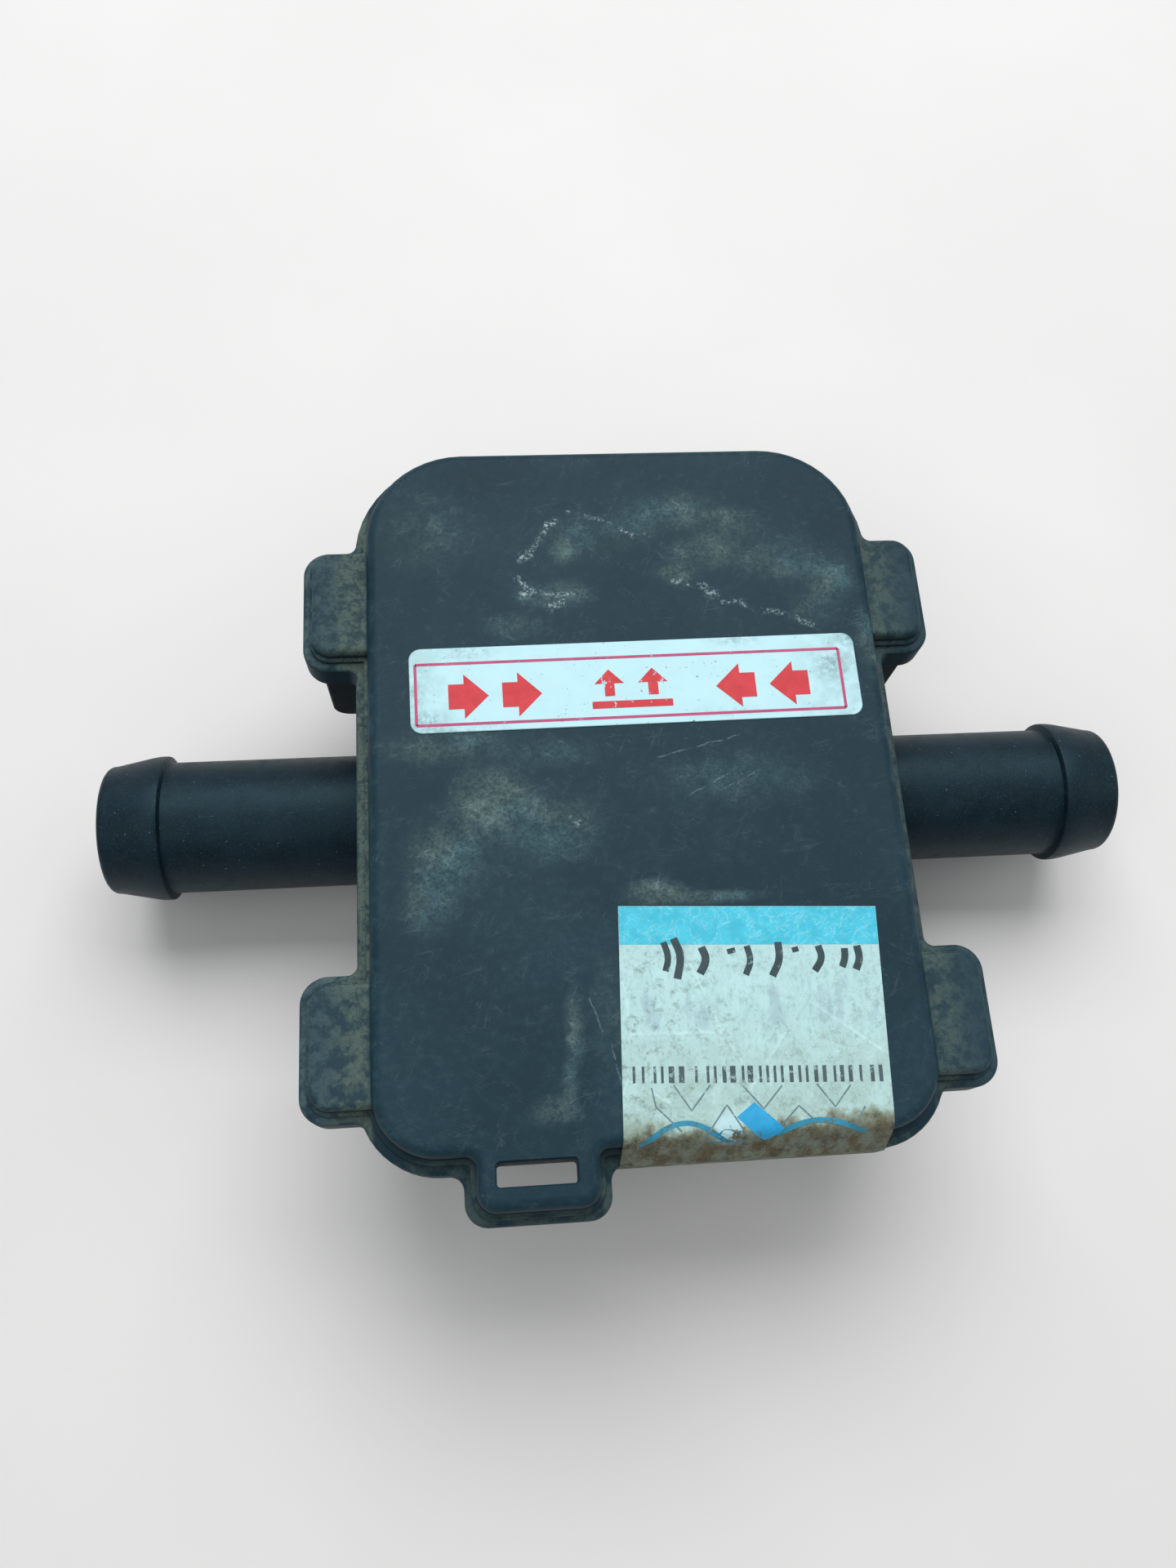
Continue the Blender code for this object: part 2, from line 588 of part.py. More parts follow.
def make_base():
    """The open box that holds everything, with its flange and the rim inside the lid."""
    base = slab("base_housing", housing_outline(BASE_BODY_OFFSET), 0.0, BASE_FLANGE_TOP)
    flange = slab("base_flange", housing_outline(BASE_FLANGE_OFFSET), BASE_FLANGE_BOTTOM, BASE_FLANGE_TOP)
    rim = slab("base_rim", housing_outline(BASE_RIM_OFFSET), BASE_FLANGE_BOTTOM, BASE_RIM_TOP)
    lugs, hook_openings = lug_solids()
    cavity = slab("base_cavity", housing_outline(BASE_CAVITY_OFFSET), BASE_FLOOR, BASE_RIM_TOP + GAP)
    blocks, passages = [], []
    for added, removed in (gas_block_solids(), vacuum_block_solids(), socket_solids()):
        blocks += added
        passages += removed
    posts = [rod(f"board_post_{number + 1}", spot, POST_RADIUS, BASE_FLOOR / 2, BOARD_BOTTOM - GAP,
                 sides=SMALL_SIDES) for number, spot in enumerate(post_places())]
    holes = [rod(f"board_post_hole_{number + 1}", spot, POST_HOLE_RADIUS, POST_HOLE_BOTTOM,
                 BOARD_BOTTOM, sides=SMALL_SIDES) for number, spot in enumerate(post_places())]
    join(base, flange, rim, *lugs)
    cut(base, cavity)
    join(base, *blocks, *posts)
    cut(base, *passages, *holes, *hook_openings)
    return finish(base, (0.022, 0.025, 0.028), 0.6)


# ---------------------------------------------------------------- gas line fittings
def tail_profile():
    """A hose tail: barbed outside down to the seal groove, then up its bore."""
    return [(TIP_RADIUS, TAIL_TIP), (BARB_FRONT_RADIUS - BARB_EASE, TAIL_TIP - BARB_EASE),
            (BARB_FRONT_RADIUS, BARB_FRONT), (BARB_RADIUS - BARB_EASE, BARB_CREST + 5 * BARB_EASE),
            (BARB_RADIUS, BARB_CREST), (BARB_RADIUS - BARB_EASE, BARB_CREST - 3 * BARB_EASE),
            (TAIL_RADIUS + BARB_EASE, BARB_BACK + BARB_EASE), (TAIL_RADIUS, BARB_BACK),
            (TAIL_RADIUS, GROOVE_FRONT), (GROOVE_RADIUS, GROOVE_FRONT),
            (GROOVE_RADIUS, GROOVE_BACK), (TAIL_RADIUS, GROOVE_BACK),
            (TAIL_RADIUS, TAIL_INNER_END + GAP), (TAIL_RADIUS - GAP, TAIL_INNER_END),
            (GAS_BORE_RADIUS, TAIL_INNER_END), (GAS_BORE_RADIUS, TAIL_TIP)]


def make_tails():
    """The two hose tails pushed into the gas block, each with its O-ring."""
    middle = Matrix.Translation((0.0, 0.0, GAS_AXIS_HEIGHT))
    for side, word in ((-1, "left"), (1, "right")):
        facing = Matrix.Rotation(side * math.pi / 2, 4, "Y")
        tail = turned(f"hose_tail_{word}", tail_profile(), middle @ facing)
        finish(tail, (0.020, 0.021, 0.023), 0.4)
        out = Matrix.Translation((side * (GROOVE_BACK + GROOVE_FRONT) / 2, 0.0, 0.0))
        wire_centre = (GROOVE_RADIUS + TAIL_SOCKET_RADIUS) / 2
        seal = ring(f"tail_o_ring_{word}", wire_centre, O_RING_WIRE, middle @ out @ facing)
        finish(seal, (0.012, 0.012, 0.012), 0.5)


def make_vacuum_nipple():
    """The small barbed nipple for the manifold hose, with a dust filter behind it."""
    wall = FACE_HIGH + BASE_BODY_OFFSET
    shank = NIPPLE_SHANK_RADIUS - GAP / 2
    profile = [(NIPPLE_TIP_RADIUS, NIPPLE_TIP), (NIPPLE_NOSE_RADIUS, NIPPLE_TIP - GAP),
               (NIPPLE_BARB_RADIUS, NIPPLE_BARB_FRONT), (NIPPLE_BARB_RADIUS, NIPPLE_BARB_BACK),
               (NIPPLE_NECK_RADIUS, NIPPLE_BARB_BACK), (NIPPLE_NECK_RADIUS, NIPPLE_COLLAR_END),
               (NIPPLE_COLLAR_RADIUS, NIPPLE_COLLAR_END), (NIPPLE_COLLAR_RADIUS, wall + GAP),
               (shank, wall + GAP), (shank, NIPPLE_INNER_END), (NIPPLE_BORE_RADIUS, NIPPLE_INNER_END),
               (NIPPLE_BORE_RADIUS, NIPPLE_TIP)]
    upright = Matrix.Translation((VACUUM_X, 0.0, VACUUM_HEIGHT)) @ Matrix.Rotation(-math.pi / 2, 4, "X")
    finish(turned("vacuum_nipple", profile, upright, steps=24), (0.022, 0.022, 0.024), 0.42)
    disc = rod("vacuum_filter", (VACUUM_X, VACUUM_HEIGHT), FILTER_RADIUS, FILTER_BACK,
               NIPPLE_INNER_END - GAP, "Y", sides=SMALL_SIDES)
    finish(soften(disc, 0.0002, 1), (0.62, 0.60, 0.55), 0.9)


# ---------------------------------------------------------------- seals and sensing elements
def make_gasket():
    """The flat rubber frame between the base's flange and the lid's skirt."""
    gasket = slab("lid_gasket", housing_outline(GASKET_OUTER_OFFSET), BASE_FLANGE_TOP + GAP,
                  CHANNEL_TOP - GAP)
    middle = slab("gasket_opening", housing_outline(GASKET_INNER_OFFSET), BASE_FLANGE_TOP, CHANNEL_TOP)
    finish(cut(gasket, middle), (0.025, 0.025, 0.026), 0.75)


def make_pressure_sensor(name, x, y):
    """A square sensing element with a round port stub under it, and the washer round the stub."""
    half = SENSOR_SIDE / 2
    sensor = soften(box(name, x - half, x + half, y - half, y + half, SENSOR_BOTTOM, SENSOR_TOP), 0.0003)
    stub = rod(name + "_stub", (x, y), SENSOR_STUB_RADIUS, SENSOR_FLOOR + GAP, SENSOR_BOTTOM + GAP,
               sides=SMALL_SIDES)
    finish(join(sensor, stub), (0.55, 0.54, 0.50), 0.5)
    low, high = SENSOR_FLOOR + GAP, SENSOR_BOTTOM - GAP
    profile = [(PORT_SEAL_OUTER, high), (PORT_SEAL_OUTER, low), (PORT_SEAL_INNER, low),
               (PORT_SEAL_INNER, high)]
    washer = turned(name.replace("pressure_sensor", "port_seal"), profile,
                    Matrix.Translation((x, y, 0.0)), steps=24)
    finish(washer, (0.35, 0.06, 0.04), 0.6)


def make_thermistor():
    """The glass bead in the gas stream with two leads up to the board, and its grommet."""
    shape = bmesh.new()
    bmesh.ops.create_uvsphere(shape, u_segments=14, v_segments=10, radius=BEAD_RADIUS)
    mesh = bpy.data.meshes.new("gas_thermistor")
    shape.to_mesh(mesh)
    shape.free()
    bead = place("gas_thermistor", mesh, Matrix.Translation((THERMISTOR_X, 0.0, BEAD_HEIGHT)))
    leads = [rod(f"thermistor_lead_{word}", (THERMISTOR_X + side * LEAD_OFFSET, 0.0), LEAD_RADIUS,
                 BEAD_HEIGHT, PIN_TOP, sides=8) for side, word in ((-1, "left"), (1, "right"))]
    finish(join(bead, *leads), (0.45, 0.30, 0.16), 0.3)
    low, high = WELL_SHELF + GAP, GAS_BLOCK_TOP + GAP
    profile = [(GROMMET_RADIUS, high), (GROMMET_RADIUS, low), (GROMMET_BORE, low), (GROMMET_BORE, high)]
    grommet = turned("thermistor_grommet", profile, Matrix.Translation((THERMISTOR_X, 0.0, 0.0)), 24)
    finish(grommet, (0.03, 0.03, 0.03), 0.7)


# ---------------------------------------------------------------- circuit board
def make_board():
    """The board, with holes for its screws, the connector pins and the thermistor's leads."""
    half = FACE_HALF_WIDTH + BOARD_OFFSET
    outline = rounded(-half, half, BOARD_LOW, FACE_HIGH + BOARD_OFFSET, SHROUD_WALL,
                      FACE_RADIUS_HIGH + BOARD_OFFSET)
    board = slab("circuit_board", outline, BOARD_BOTTOM, BOARD_TOP)
    low, high = BOARD_BOTTOM - GAP, BOARD_TOP + GAP
    holes = [rod(f"screw_hole_{number + 1}", spot, SCREW_SHANK_RADIUS + GAP, low, high,
                 sides=SMALL_SIDES)
             for number, spot in enumerate(post_places())]
    holes += [rod(f"solder_hole_{number + 1}", (x, rise), PIN_RADIUS + GAP, low, high, sides=8)
              for number, (x, z, rise) in enumerate(pin_places())]
    holes += [rod(f"lead_hole_{word}", (THERMISTOR_X + side * LEAD_OFFSET, 0.0), LEAD_RADIUS + GAP / 2,
                  low, high, sides=8) for side, word in ((-1, "left"), (1, "right"))]
    finish(cut(board, *holes), (0.02, 0.16, 0.07), 0.4)


def make_pins():
    """Six connector pins that run back through the socket and turn up through the board."""
    for number, (x, z, rise) in enumerate(pin_places()):
        curve = bpy.data.curves.new(f"terminal_pin_{number + 1}", "CURVE")
        curve.dimensions = "3D"
        curve.bevel_depth = PIN_RADIUS
        curve.bevel_resolution = 1
        curve.use_fill_caps = True
        turn = [(y, height) for y, height in arc(rise - PIN_BEND, z + PIN_BEND, PIN_BEND, 270, 360, 3)]
        route = [(PIN_TIP, z), *turn, (rise, PIN_TOP)]
        spline = curve.splines.new("POLY")
        spline.points.add(len(route) - 1)
        for point, (y, height) in zip(spline.points, route):
            point.co = (x, y, height, 1.0)
        finish(from_curve(f"terminal_pin_{number + 1}", curve, Matrix.Identity(4)),
               (0.80, 0.74, 0.55), 0.3, 1.0)


def make_screws():
    """Four pan-head screws that hold the board on its posts."""
    top = CHIP_BOTTOM + SCREW_HEAD_HEIGHT
    profile = [(0.0, top), (SCREW_FLAT_RADIUS, top), (SCREW_SHOULDER_RADIUS, top - GAP),
               (SCREW_HEAD_RADIUS, top - SCREW_DOME), (SCREW_HEAD_RADIUS, CHIP_BOTTOM),
               (SCREW_SHANK_RADIUS, CHIP_BOTTOM), (SCREW_SHANK_RADIUS, SCREW_END + SCREW_POINT),
               (0.0, SCREW_END)]
    for number, (x, y) in enumerate(post_places()):
        screw = turned(f"board_screw_{number + 1}", profile, Matrix.Translation((x, y, 0.0)),
                       SMALL_SIDES, closed=False)
        finish(screw, (0.62, 0.62, 0.64), 0.35, 1.0)


def make_chip(name, x, y, length, width, height, colour):
    """A chip package that stands on the board, with its edges eased."""
    chip = box(name, x - length / 2, x + length / 2, y - width / 2, y + width / 2, CHIP_BOTTOM,
               CHIP_BOTTOM + height)
    finish(soften(chip, 0.00015, 1), colour, 0.55)


def make_components():
    """The processor, the regulator and the two capacitors on top of the board."""
    make_chip("signal_processor", *PROCESSOR_SPOT, *PROCESSOR_SIZE, CHIP_COLOUR)
    make_chip("voltage_regulator", *REGULATOR_SPOT, *REGULATOR_SIZE, CHIP_COLOUR)
    for number, y in enumerate(CAPACITOR_ROWS):
        make_chip(f"smoothing_capacitor_{number + 1}", CAPACITOR_X, y, *CAPACITOR_SIZE, CAPACITOR_COLOUR)


# ---------------------------------------------------------------- labels
def make_direction_label():
    """The label with the two pairs of arrows, above the middle of the lid's face."""
    half_width, half_height = LABEL_HALF_SIZE
    outline = rounded(-half_width, half_width, -half_height, half_height, LABEL_RADIUS, LABEL_RADIUS, 3)
    low = LID_TOP + GAP
    label = slab("direction_label", outline, low, low + LABEL_THICKNESS)
    label.matrix_world = (Matrix.Translation((*LABEL_CENTRE, low + LABEL_THICKNESS / 2))
                          @ Matrix.Rotation(LABEL_TILT, 4, "Z"))
    finish(label, (0.72, 0.78, 0.78), 0.45)


def make_tamper_seal():
    """The paper seal over the joint, in two halves that meet at the joint line.

    The upper half lies on the face and hangs over the flange; the lower half is on the base.
    """
    face = LID_TOP + GAP
    flange = FACE_LOW - FLANGE_OFFSET - GAP
    over_rim = arc(FACE_LOW + FACE_ROUNDING, LID_TOP - FACE_ROUNDING, FACE_ROUNDING + GAP, 180, 90, 2)
    upper = [(flange, SKIRT_BOTTOM), (flange, FLANGE_TOP + GAP), *over_rim, (SEAL_START, face)]
    lower_flange = FACE_LOW - BASE_FLANGE_OFFSET - GAP
    wall = FACE_LOW - BASE_BODY_OFFSET - GAP
    lower = [(wall, SEAL_END_HEIGHT), (wall, BASE_FLANGE_BOTTOM - SEAL_SLANT),
             (lower_flange, BASE_FLANGE_BOTTOM - GAP), (lower_flange, BASE_FLANGE_TOP)]
    for name, path in (("tamper_seal_upper", upper), ("tamper_seal_lower", lower)):
        half = slab(name, strip(path, LABEL_THICKNESS), SEAL_LEFT, SEAL_RIGHT, "X")
        finish(half, (0.66, 0.68, 0.62), 0.7)


make_lid()
make_base()
make_gasket()
make_tails()
make_vacuum_nipple()
make_pressure_sensor("gas_pressure_sensor", GAS_SENSOR_X, 0.0)
make_pressure_sensor("manifold_pressure_sensor", VACUUM_X, VACUUM_SENSOR_Y)
make_thermistor()
make_board()
make_pins()
make_screws()
make_components()
make_direction_label()
make_tamper_seal()
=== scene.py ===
import math
import random
from functools import reduce

import bmesh
import bpy
from mathutils import Matrix, Vector


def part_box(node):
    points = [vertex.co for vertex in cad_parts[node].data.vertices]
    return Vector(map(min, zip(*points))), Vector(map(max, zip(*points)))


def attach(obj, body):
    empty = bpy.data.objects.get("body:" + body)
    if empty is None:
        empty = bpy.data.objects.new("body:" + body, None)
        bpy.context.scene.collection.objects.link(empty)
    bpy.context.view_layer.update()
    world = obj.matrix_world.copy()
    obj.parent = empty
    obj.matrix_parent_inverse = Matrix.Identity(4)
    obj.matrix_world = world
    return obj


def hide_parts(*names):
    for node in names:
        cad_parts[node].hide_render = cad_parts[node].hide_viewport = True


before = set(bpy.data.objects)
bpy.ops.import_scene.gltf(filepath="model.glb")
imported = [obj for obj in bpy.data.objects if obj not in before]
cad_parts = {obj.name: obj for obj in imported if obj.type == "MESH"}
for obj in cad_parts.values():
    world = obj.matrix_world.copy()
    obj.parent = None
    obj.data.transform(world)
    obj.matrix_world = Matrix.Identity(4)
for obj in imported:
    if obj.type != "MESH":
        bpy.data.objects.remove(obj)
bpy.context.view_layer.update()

MM = 0.001
draw = random.Random(5)


# ---------------------------------------------------------------- sizes, in millimetres
def box_mm(node):
    """Lowest and highest corner of a CAD node."""
    low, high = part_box(node)
    return low / MM, high / MM


def middle_of(node):
    """Middle of a CAD node, as plain numbers: x, y, z."""
    return tuple((low + high) / 2 for low, high in zip(*box_mm(node)))


LID_LOW, LID_HIGH = box_mm("lid")
BASE_HIGH = box_mm("base_housing")[1]
TAIL_LOW, TAIL_HIGH = box_mm("hose_tail_right")
NIPPLE_HIGH = box_mm("vacuum_nipple")[1]
BOARD_LOW, BOARD_HIGH = box_mm("circuit_board")

FLANGE_STEP = 1.2                       # flange beyond the raised face
FACE_HALF = 21.9
FACE_TOP = LID_HIGH.y - FLANGE_STEP
FACE_FOOT = -31.6
FACE_R_FOOT = 5.0
FACE_R_TOP = 8.5
FACE_ROUNDING = 1.0
LID_FOOT = 20.2
FLANGE_TOP = 23.2
LID_TOP = LID_HIGH.z
LID_UNDERSIDE = 24.2
CHANNEL_TOP = 21.8

EAR_CENTRES = (15.0, -22.85)
EAR_HALF = 5.75
EAR_REACH = LID_HIGH.x
EAR_R = 2.2
EAR_PAD_TOP = 24.9
EAR_ROOF = 23.4
FILLET = 0.8                            # in the corner between an ear and the flange

TAB_LEFT, TAB_RIGHT = -15.2, -4.0
TAB_END = LID_LOW.y
TAB_R = 1.8
SLOT = (-12.7, -6.7, -33.95, -32.2)     # left, right, low, high
PAD_LIP = 0.95                          # ear or tab lip round its raised pad
LEDGE_TOP = FLANGE_TOP + 0.5            # small step at the foot of the raised face and pads

BASE_FLOOR = 2.0
BASE_FLANGE = (17.9, 19.9)
BASE_RIM_TOP = BASE_HIGH.z
BODY_OFFSET, RIM_OFFSET, CAVITY_OFFSET = -1.5, -2.1, -3.6
WALL_SIDE = FACE_HALF + BODY_OFFSET
WALL_TOP = FACE_TOP + BODY_OFFSET       # outside of the base's upper wall
LUG_HALF = 5.0
LUG_FOOT = 11.5
LUG_REACH = 26.2
LUG_R = 1.6
LUG_ROOT = 18.9

AXIS_Z = (TAIL_LOW.z + TAIL_HIGH.z) / 2
TAIL_TIP = TAIL_HIGH.x
BARB_R = TAIL_HIGH.z - AXIS_Z
TAIL_R = 6.0
BORE_R = 4.0
TAIL_INNER_END = 11.3
VACUUM_X, _, VACUUM_Z = middle_of("vacuum_nipple")
GAS_SENSOR = (2.5, 0.0)
MANIFOLD_SENSOR = (VACUUM_X, 19.5)
THERMISTOR_X = -7.5
SOCKET_X = -9.6
SOCKET_Z = 13.0
SHROUD_FRONT = -31.1
PIN_PITCH = 2.54
PIN_TOP = 21.7
POSTS = [(side * 15.2, y) for y in (21.2, -14.0) for side in (-1, 1)]
BOARD_TOP = BOARD_HIGH.z
ON_BOARD = BOARD_TOP - 0.02             # foot of what is soldered or printed on the board
PART_FOOT = BOARD_TOP + 0.06            # underside of a part's leads

ARC_STEP = 7.5                          # degrees between two points of a modelled corner
TURN_STEPS = 96                         # steps of a revolved piece


# ---------------------------------------------------------------- meshes
def place_mesh(name, mesh):
    """A new object of the scene with a mesh."""
    made = bpy.data.objects.new(name, mesh)
    bpy.context.scene.collection.objects.link(made)
    return made


def mesh_object(name, vertices, faces):
    """A mesh object in millimetres with its faces pointing out."""
    mesh = bpy.data.meshes.new(name)
    mesh.from_pydata([tuple(vertex) for vertex in vertices], [], faces)
    shape = bmesh.new()
    shape.from_mesh(mesh)
    bmesh.ops.remove_doubles(shape, verts=shape.verts, dist=1e-5)
    bmesh.ops.recalc_face_normals(shape, faces=shape.faces)
    shape.to_mesh(mesh)
    shape.free()
    return place_mesh(name, mesh)


def skin(rings, wrap=False):
    """Faces between neighbouring rings of equally many points; wrap joins the last ring to the first."""
    count = len(rings[0])
    faces = []
    for level in range(len(rings) if wrap else len(rings) - 1):
        low, high = level * count, (level + 1) % len(rings) * count
        for index in range(count):
            after = (index + 1) % count
            faces.append((low + index, low + after, high + after, high + index))
    return faces


def loft(name, rings):
    """A solid through closed rings of equally many points, capped at both ends."""
    vertices = [point for ring in rings for point in ring]
    first = len(vertices) - len(rings[0])
    caps = [tuple(reversed(range(len(rings[0])))), tuple(range(first, len(vertices)))]
    return mesh_object(name, vertices, caps + skin(rings))


def shell(name, top, bottom):
    """A thin closed sheet between two grids of points."""
    rows, columns = len(top), len(top[0])
    vertices = [point for grid in (top, bottom) for row in grid for point in row]
    under = rows * columns
    faces = []
    for row in range(rows - 1):
        for column in range(columns - 1):
            corner = row * columns + column
            quad = (corner, corner + 1, corner + columns + 1, corner + columns)
            faces += [quad, tuple(index + under for index in reversed(quad))]
    edge = [*range(columns), *[row * columns + columns - 1 for row in range(1, rows)],
            *[(rows - 1) * columns + column for column in range(columns - 2, -1, -1)],
            *[row * columns for row in range(rows - 2, 0, -1)]]
    for here, after in zip(edge, edge[1:] + edge[:1]):
        faces.append((here, here + under, after + under, after))
    return mesh_object(name, vertices, faces)


def on_circle(cx, cy, radius, degrees):
    """A point of a circle."""
    angle = math.radians(degrees)
    return (cx + radius * math.cos(angle), cy + radius * math.sin(angle))


def arc(cx, cy, radius, start, end):
    """Points along an arc, in degrees."""
    steps = max(2, round(abs(end - start) / ARC_STEP))
    return [on_circle(cx, cy, radius, start + (end - start) * step / steps) for step in range(steps + 1)]


def outline(arcs, offset=0.0):
    """Points round a chain of arcs moved out by offset; arcs that turn back are inner corners."""
    points = []
    for cx, cy, radius, start, end in arcs:
        reach = radius + offset if end > start else radius - offset
        points += arc(cx, cy, max(reach, 0.01), start, end)
    return points


def box_arcs(left, right, low, high, radius, radius_top=None):
    """A rectangle with round corners, anticlockwise from its lower left one."""
    above = radius if radius_top is None else radius_top
    return [(left + radius, low + radius, radius, 180, 270),
            (right - radius, low + radius, radius, 270, 360),
            (right - above, high - above, above, 0, 90), (left + above, high - above, above, 90, 180)]


def around(x, y, half_x, half_y, radius):
    """A rectangle with round corners about its middle."""
    return box_arcs(x - half_x, x + half_x, y - half_y, y + half_y, radius)


def mirrored(arcs):
    """A chain of arcs on the other side of the YZ plane."""
    return [(-cx, cy, radius, 180 - end, 180 - start) for cx, cy, radius, start, end in reversed(arcs)]


def upright(name, arcs, levels):
    """A solid with an outline that changes by offset from level to level."""
    return loft(name, [[(x, y, z) for x, y in outline(arcs, offset)] for offset, z in levels])


def rim_up(radius, top, steps=6):
    """Levels of a rounded upper edge."""
    angles = [math.radians(90 * step / steps) for step in range(steps + 1)]
    return [(radius * (math.cos(a) - 1), top - radius + radius * math.sin(a)) for a in angles]


def rim_down(radius, bottom, steps=5):
    """Levels of a rounded lower edge."""
    return [(offset, 2 * bottom - z) for offset, z in reversed(rim_up(radius, bottom, steps))]


def stepped_foot(wide):
    """Levels of the small step that runs round the foot of a raised part."""
    return [(wide, LID_FOOT + 1.0), (wide, LEDGE_TOP - 0.16), (wide - 0.05, LEDGE_TOP - 0.04),
            (wide - 0.13, LEDGE_TOP), (0.06, LEDGE_TOP + 0.02), (0.0, LEDGE_TOP + 0.1)]


def moved_out(levels, offset):
    """The same levels further out."""
    return [(own + offset, z) for own, z in levels]


def block(name, left, right, near, far, low, high, corner=0.4, edge=0.25):
    """An upright block with round corners and a rounded top edge."""
    return upright(name, box_arcs(left, right, near, far, corner), [(0.0, low), *rim_up(edge, high, 3)])


def block_at(name, x, y, width, depth, low, high, corner=0.4, edge=0.25):
    """The same about its middle."""
    return block(name, x - width / 2, x + width / 2, y - depth / 2, y + depth / 2, low, high, corner, edge)


def turn_to(axis, x=0.0, y=0.0, z=0.0):
    """The matrix that stands local Z along an axis at a point."""
    quarter = {"X": (1, "Y"), "-X": (-1, "Y"), "Y": (-1, "X"), "-Y": (1, "X"), "Z": (0, "Z")}
    turns, about = quarter[axis]
    return Matrix.Translation((x, y, z)) @ Matrix.Rotation(turns * math.pi / 2, 4, about)


def revolve(name, profile, matrix, steps=TURN_STEPS, closed=True):
    """A solid turned about local Z from (radius, height) points."""
    count = len(profile)
    vertices = []
    for step in range(steps):
        angle = 2 * math.pi * step / steps
        vertices += [matrix @ Vector((r * math.cos(angle), r * math.sin(angle), h)) for r, h in profile]
    faces = []
    for step in range(steps):
        here, after = step * count, (step + 1) % steps * count
        for index in range(count if closed else count - 1):
            further = (index + 1) % count
            if profile[index][0] != 0.0 or profile[further][0] != 0.0:
                faces.append((here + index, after + index, after + further, here + further))
    return mesh_object(name, vertices, faces)


def rod(name, radius, low, high, matrix, edge=0.0, steps=32):
    """A cylinder along local Z with its upper edge rounded."""
    top = [(radius + own, z) for own, z in rim_up(edge, high, 3)] if edge else [(radius, high)]
    return revolve(name, [(0.0, low), (radius, low), *top, (0.0, high)], matrix, steps, closed=False)


def prism(name, profile, low, high, edge=0.0, steps=2):
    """A flat profile in the XZ plane drawn out along Y, edges rounded."""
    made = loft(name, [[(a, at, b) for a, b in profile] for at in (low, high)])
    if edge:
        round_edges(made, edge, steps)
    return made


def sided(profile, side):
    """A profile in the XZ plane as it is, or mirrored for the left side."""
    return profile if side > 0 else [(-x, z) for x, z in reversed(profile)]


def round_edges(piece, width, steps):
    """Bevel a piece's edges over 30 degrees in its mesh."""
    shape = bmesh.new()
    shape.from_mesh(piece.data)
    sharp = [edge for edge in shape.edges
             if len(edge.link_faces) == 2 and edge.calc_face_angle() > math.radians(30)]
    bmesh.ops.bevel(shape, geom=sharp, offset=width, segments=steps, profile=0.5, affect="EDGES",
                    clamp_overlap=True)
    shape.to_mesh(piece.data)
    shape.free()


def runs_along(points):
    """The direction at each point of a path."""
    last = len(points) - 1
    return [(points[min(index + 1, last)] - points[max(index - 1, 0)]).normalized()
            for index in range(last + 1)]


def tube(name, path, section, side):
    """A bar with a constant section along a path in the plane square to side."""
    side = Vector(side)
    path = [Vector(point) for point in path]
    rings = []
    for point, run in zip(path, runs_along(path)):
        up = run.cross(side)
        rings.append([point + side * a + up * b for a, b in section])
    return loft(name, rings)


def combine(piece, operation, tools):
    """Apply a boolean with each tool in turn and remove the tools."""
    for tool in tools:
        step = piece.modifiers.new("shape", "BOOLEAN")
        step.operation = operation
        step.solver = "EXACT"
        step.object = tool
    bpy.context.view_layer.update()
    seen = piece.evaluated_get(bpy.context.evaluated_depsgraph_get())
    shaped = bpy.data.meshes.new_from_object(seen)
    piece.modifiers.clear()
    piece.data = shaped
    remove(tools)


def add(piece, *tools):
    """Join tools to a piece."""
    combine(piece, "UNION", tools)


def cut(piece, *tools):
    """Cut tools out of a piece."""
    combine(piece, "DIFFERENCE", tools)


def remove(pieces):
    """Take pieces out of the file."""
    for piece in pieces:
        bpy.data.objects.remove(piece, do_unlink=True)


def gather(name, parts):
    """One object from several, side by side in one mesh."""
    shape = bmesh.new()
    for part in parts:
        shape.from_mesh(part.data)
    mesh = bpy.data.meshes.new(name)
    shape.to_mesh(mesh)
    shape.free()
    remove(parts)
    return place_mesh(name, mesh)


def settle(piece, slot, replaced=None, look=None, body="housing", angle=35):
    """Bring a finished piece to metres, give it its look, shade it smooth, hide the CAD node it replaces, and
    hang it on its body.
    """
    piece.data.transform(Matrix.Scale(MM, 4))
    piece.data.materials.clear()
    piece.data.materials.append(look or SLOT_LOOKS[slot])
    piece.data.shade_smooth()
    piece.data.set_sharp_from_angle(angle=math.radians(angle))
    weighted = piece.modifiers.new("shading", "WEIGHTED_NORMAL")
    weighted.keep_sharp = True
    if replaced:
        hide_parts(replaced)
    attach(piece, body)


def keep_node(node, slot):
    """Give a CAD node that stays its material, and smooth it."""
    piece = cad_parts[node]
    piece.data.materials.clear()
    piece.data.materials.append(SLOT_LOOKS[slot])
    smooth = piece.modifiers.new("smooth", "SUBSURF")
    smooth.levels = 1
    smooth.render_levels = 1


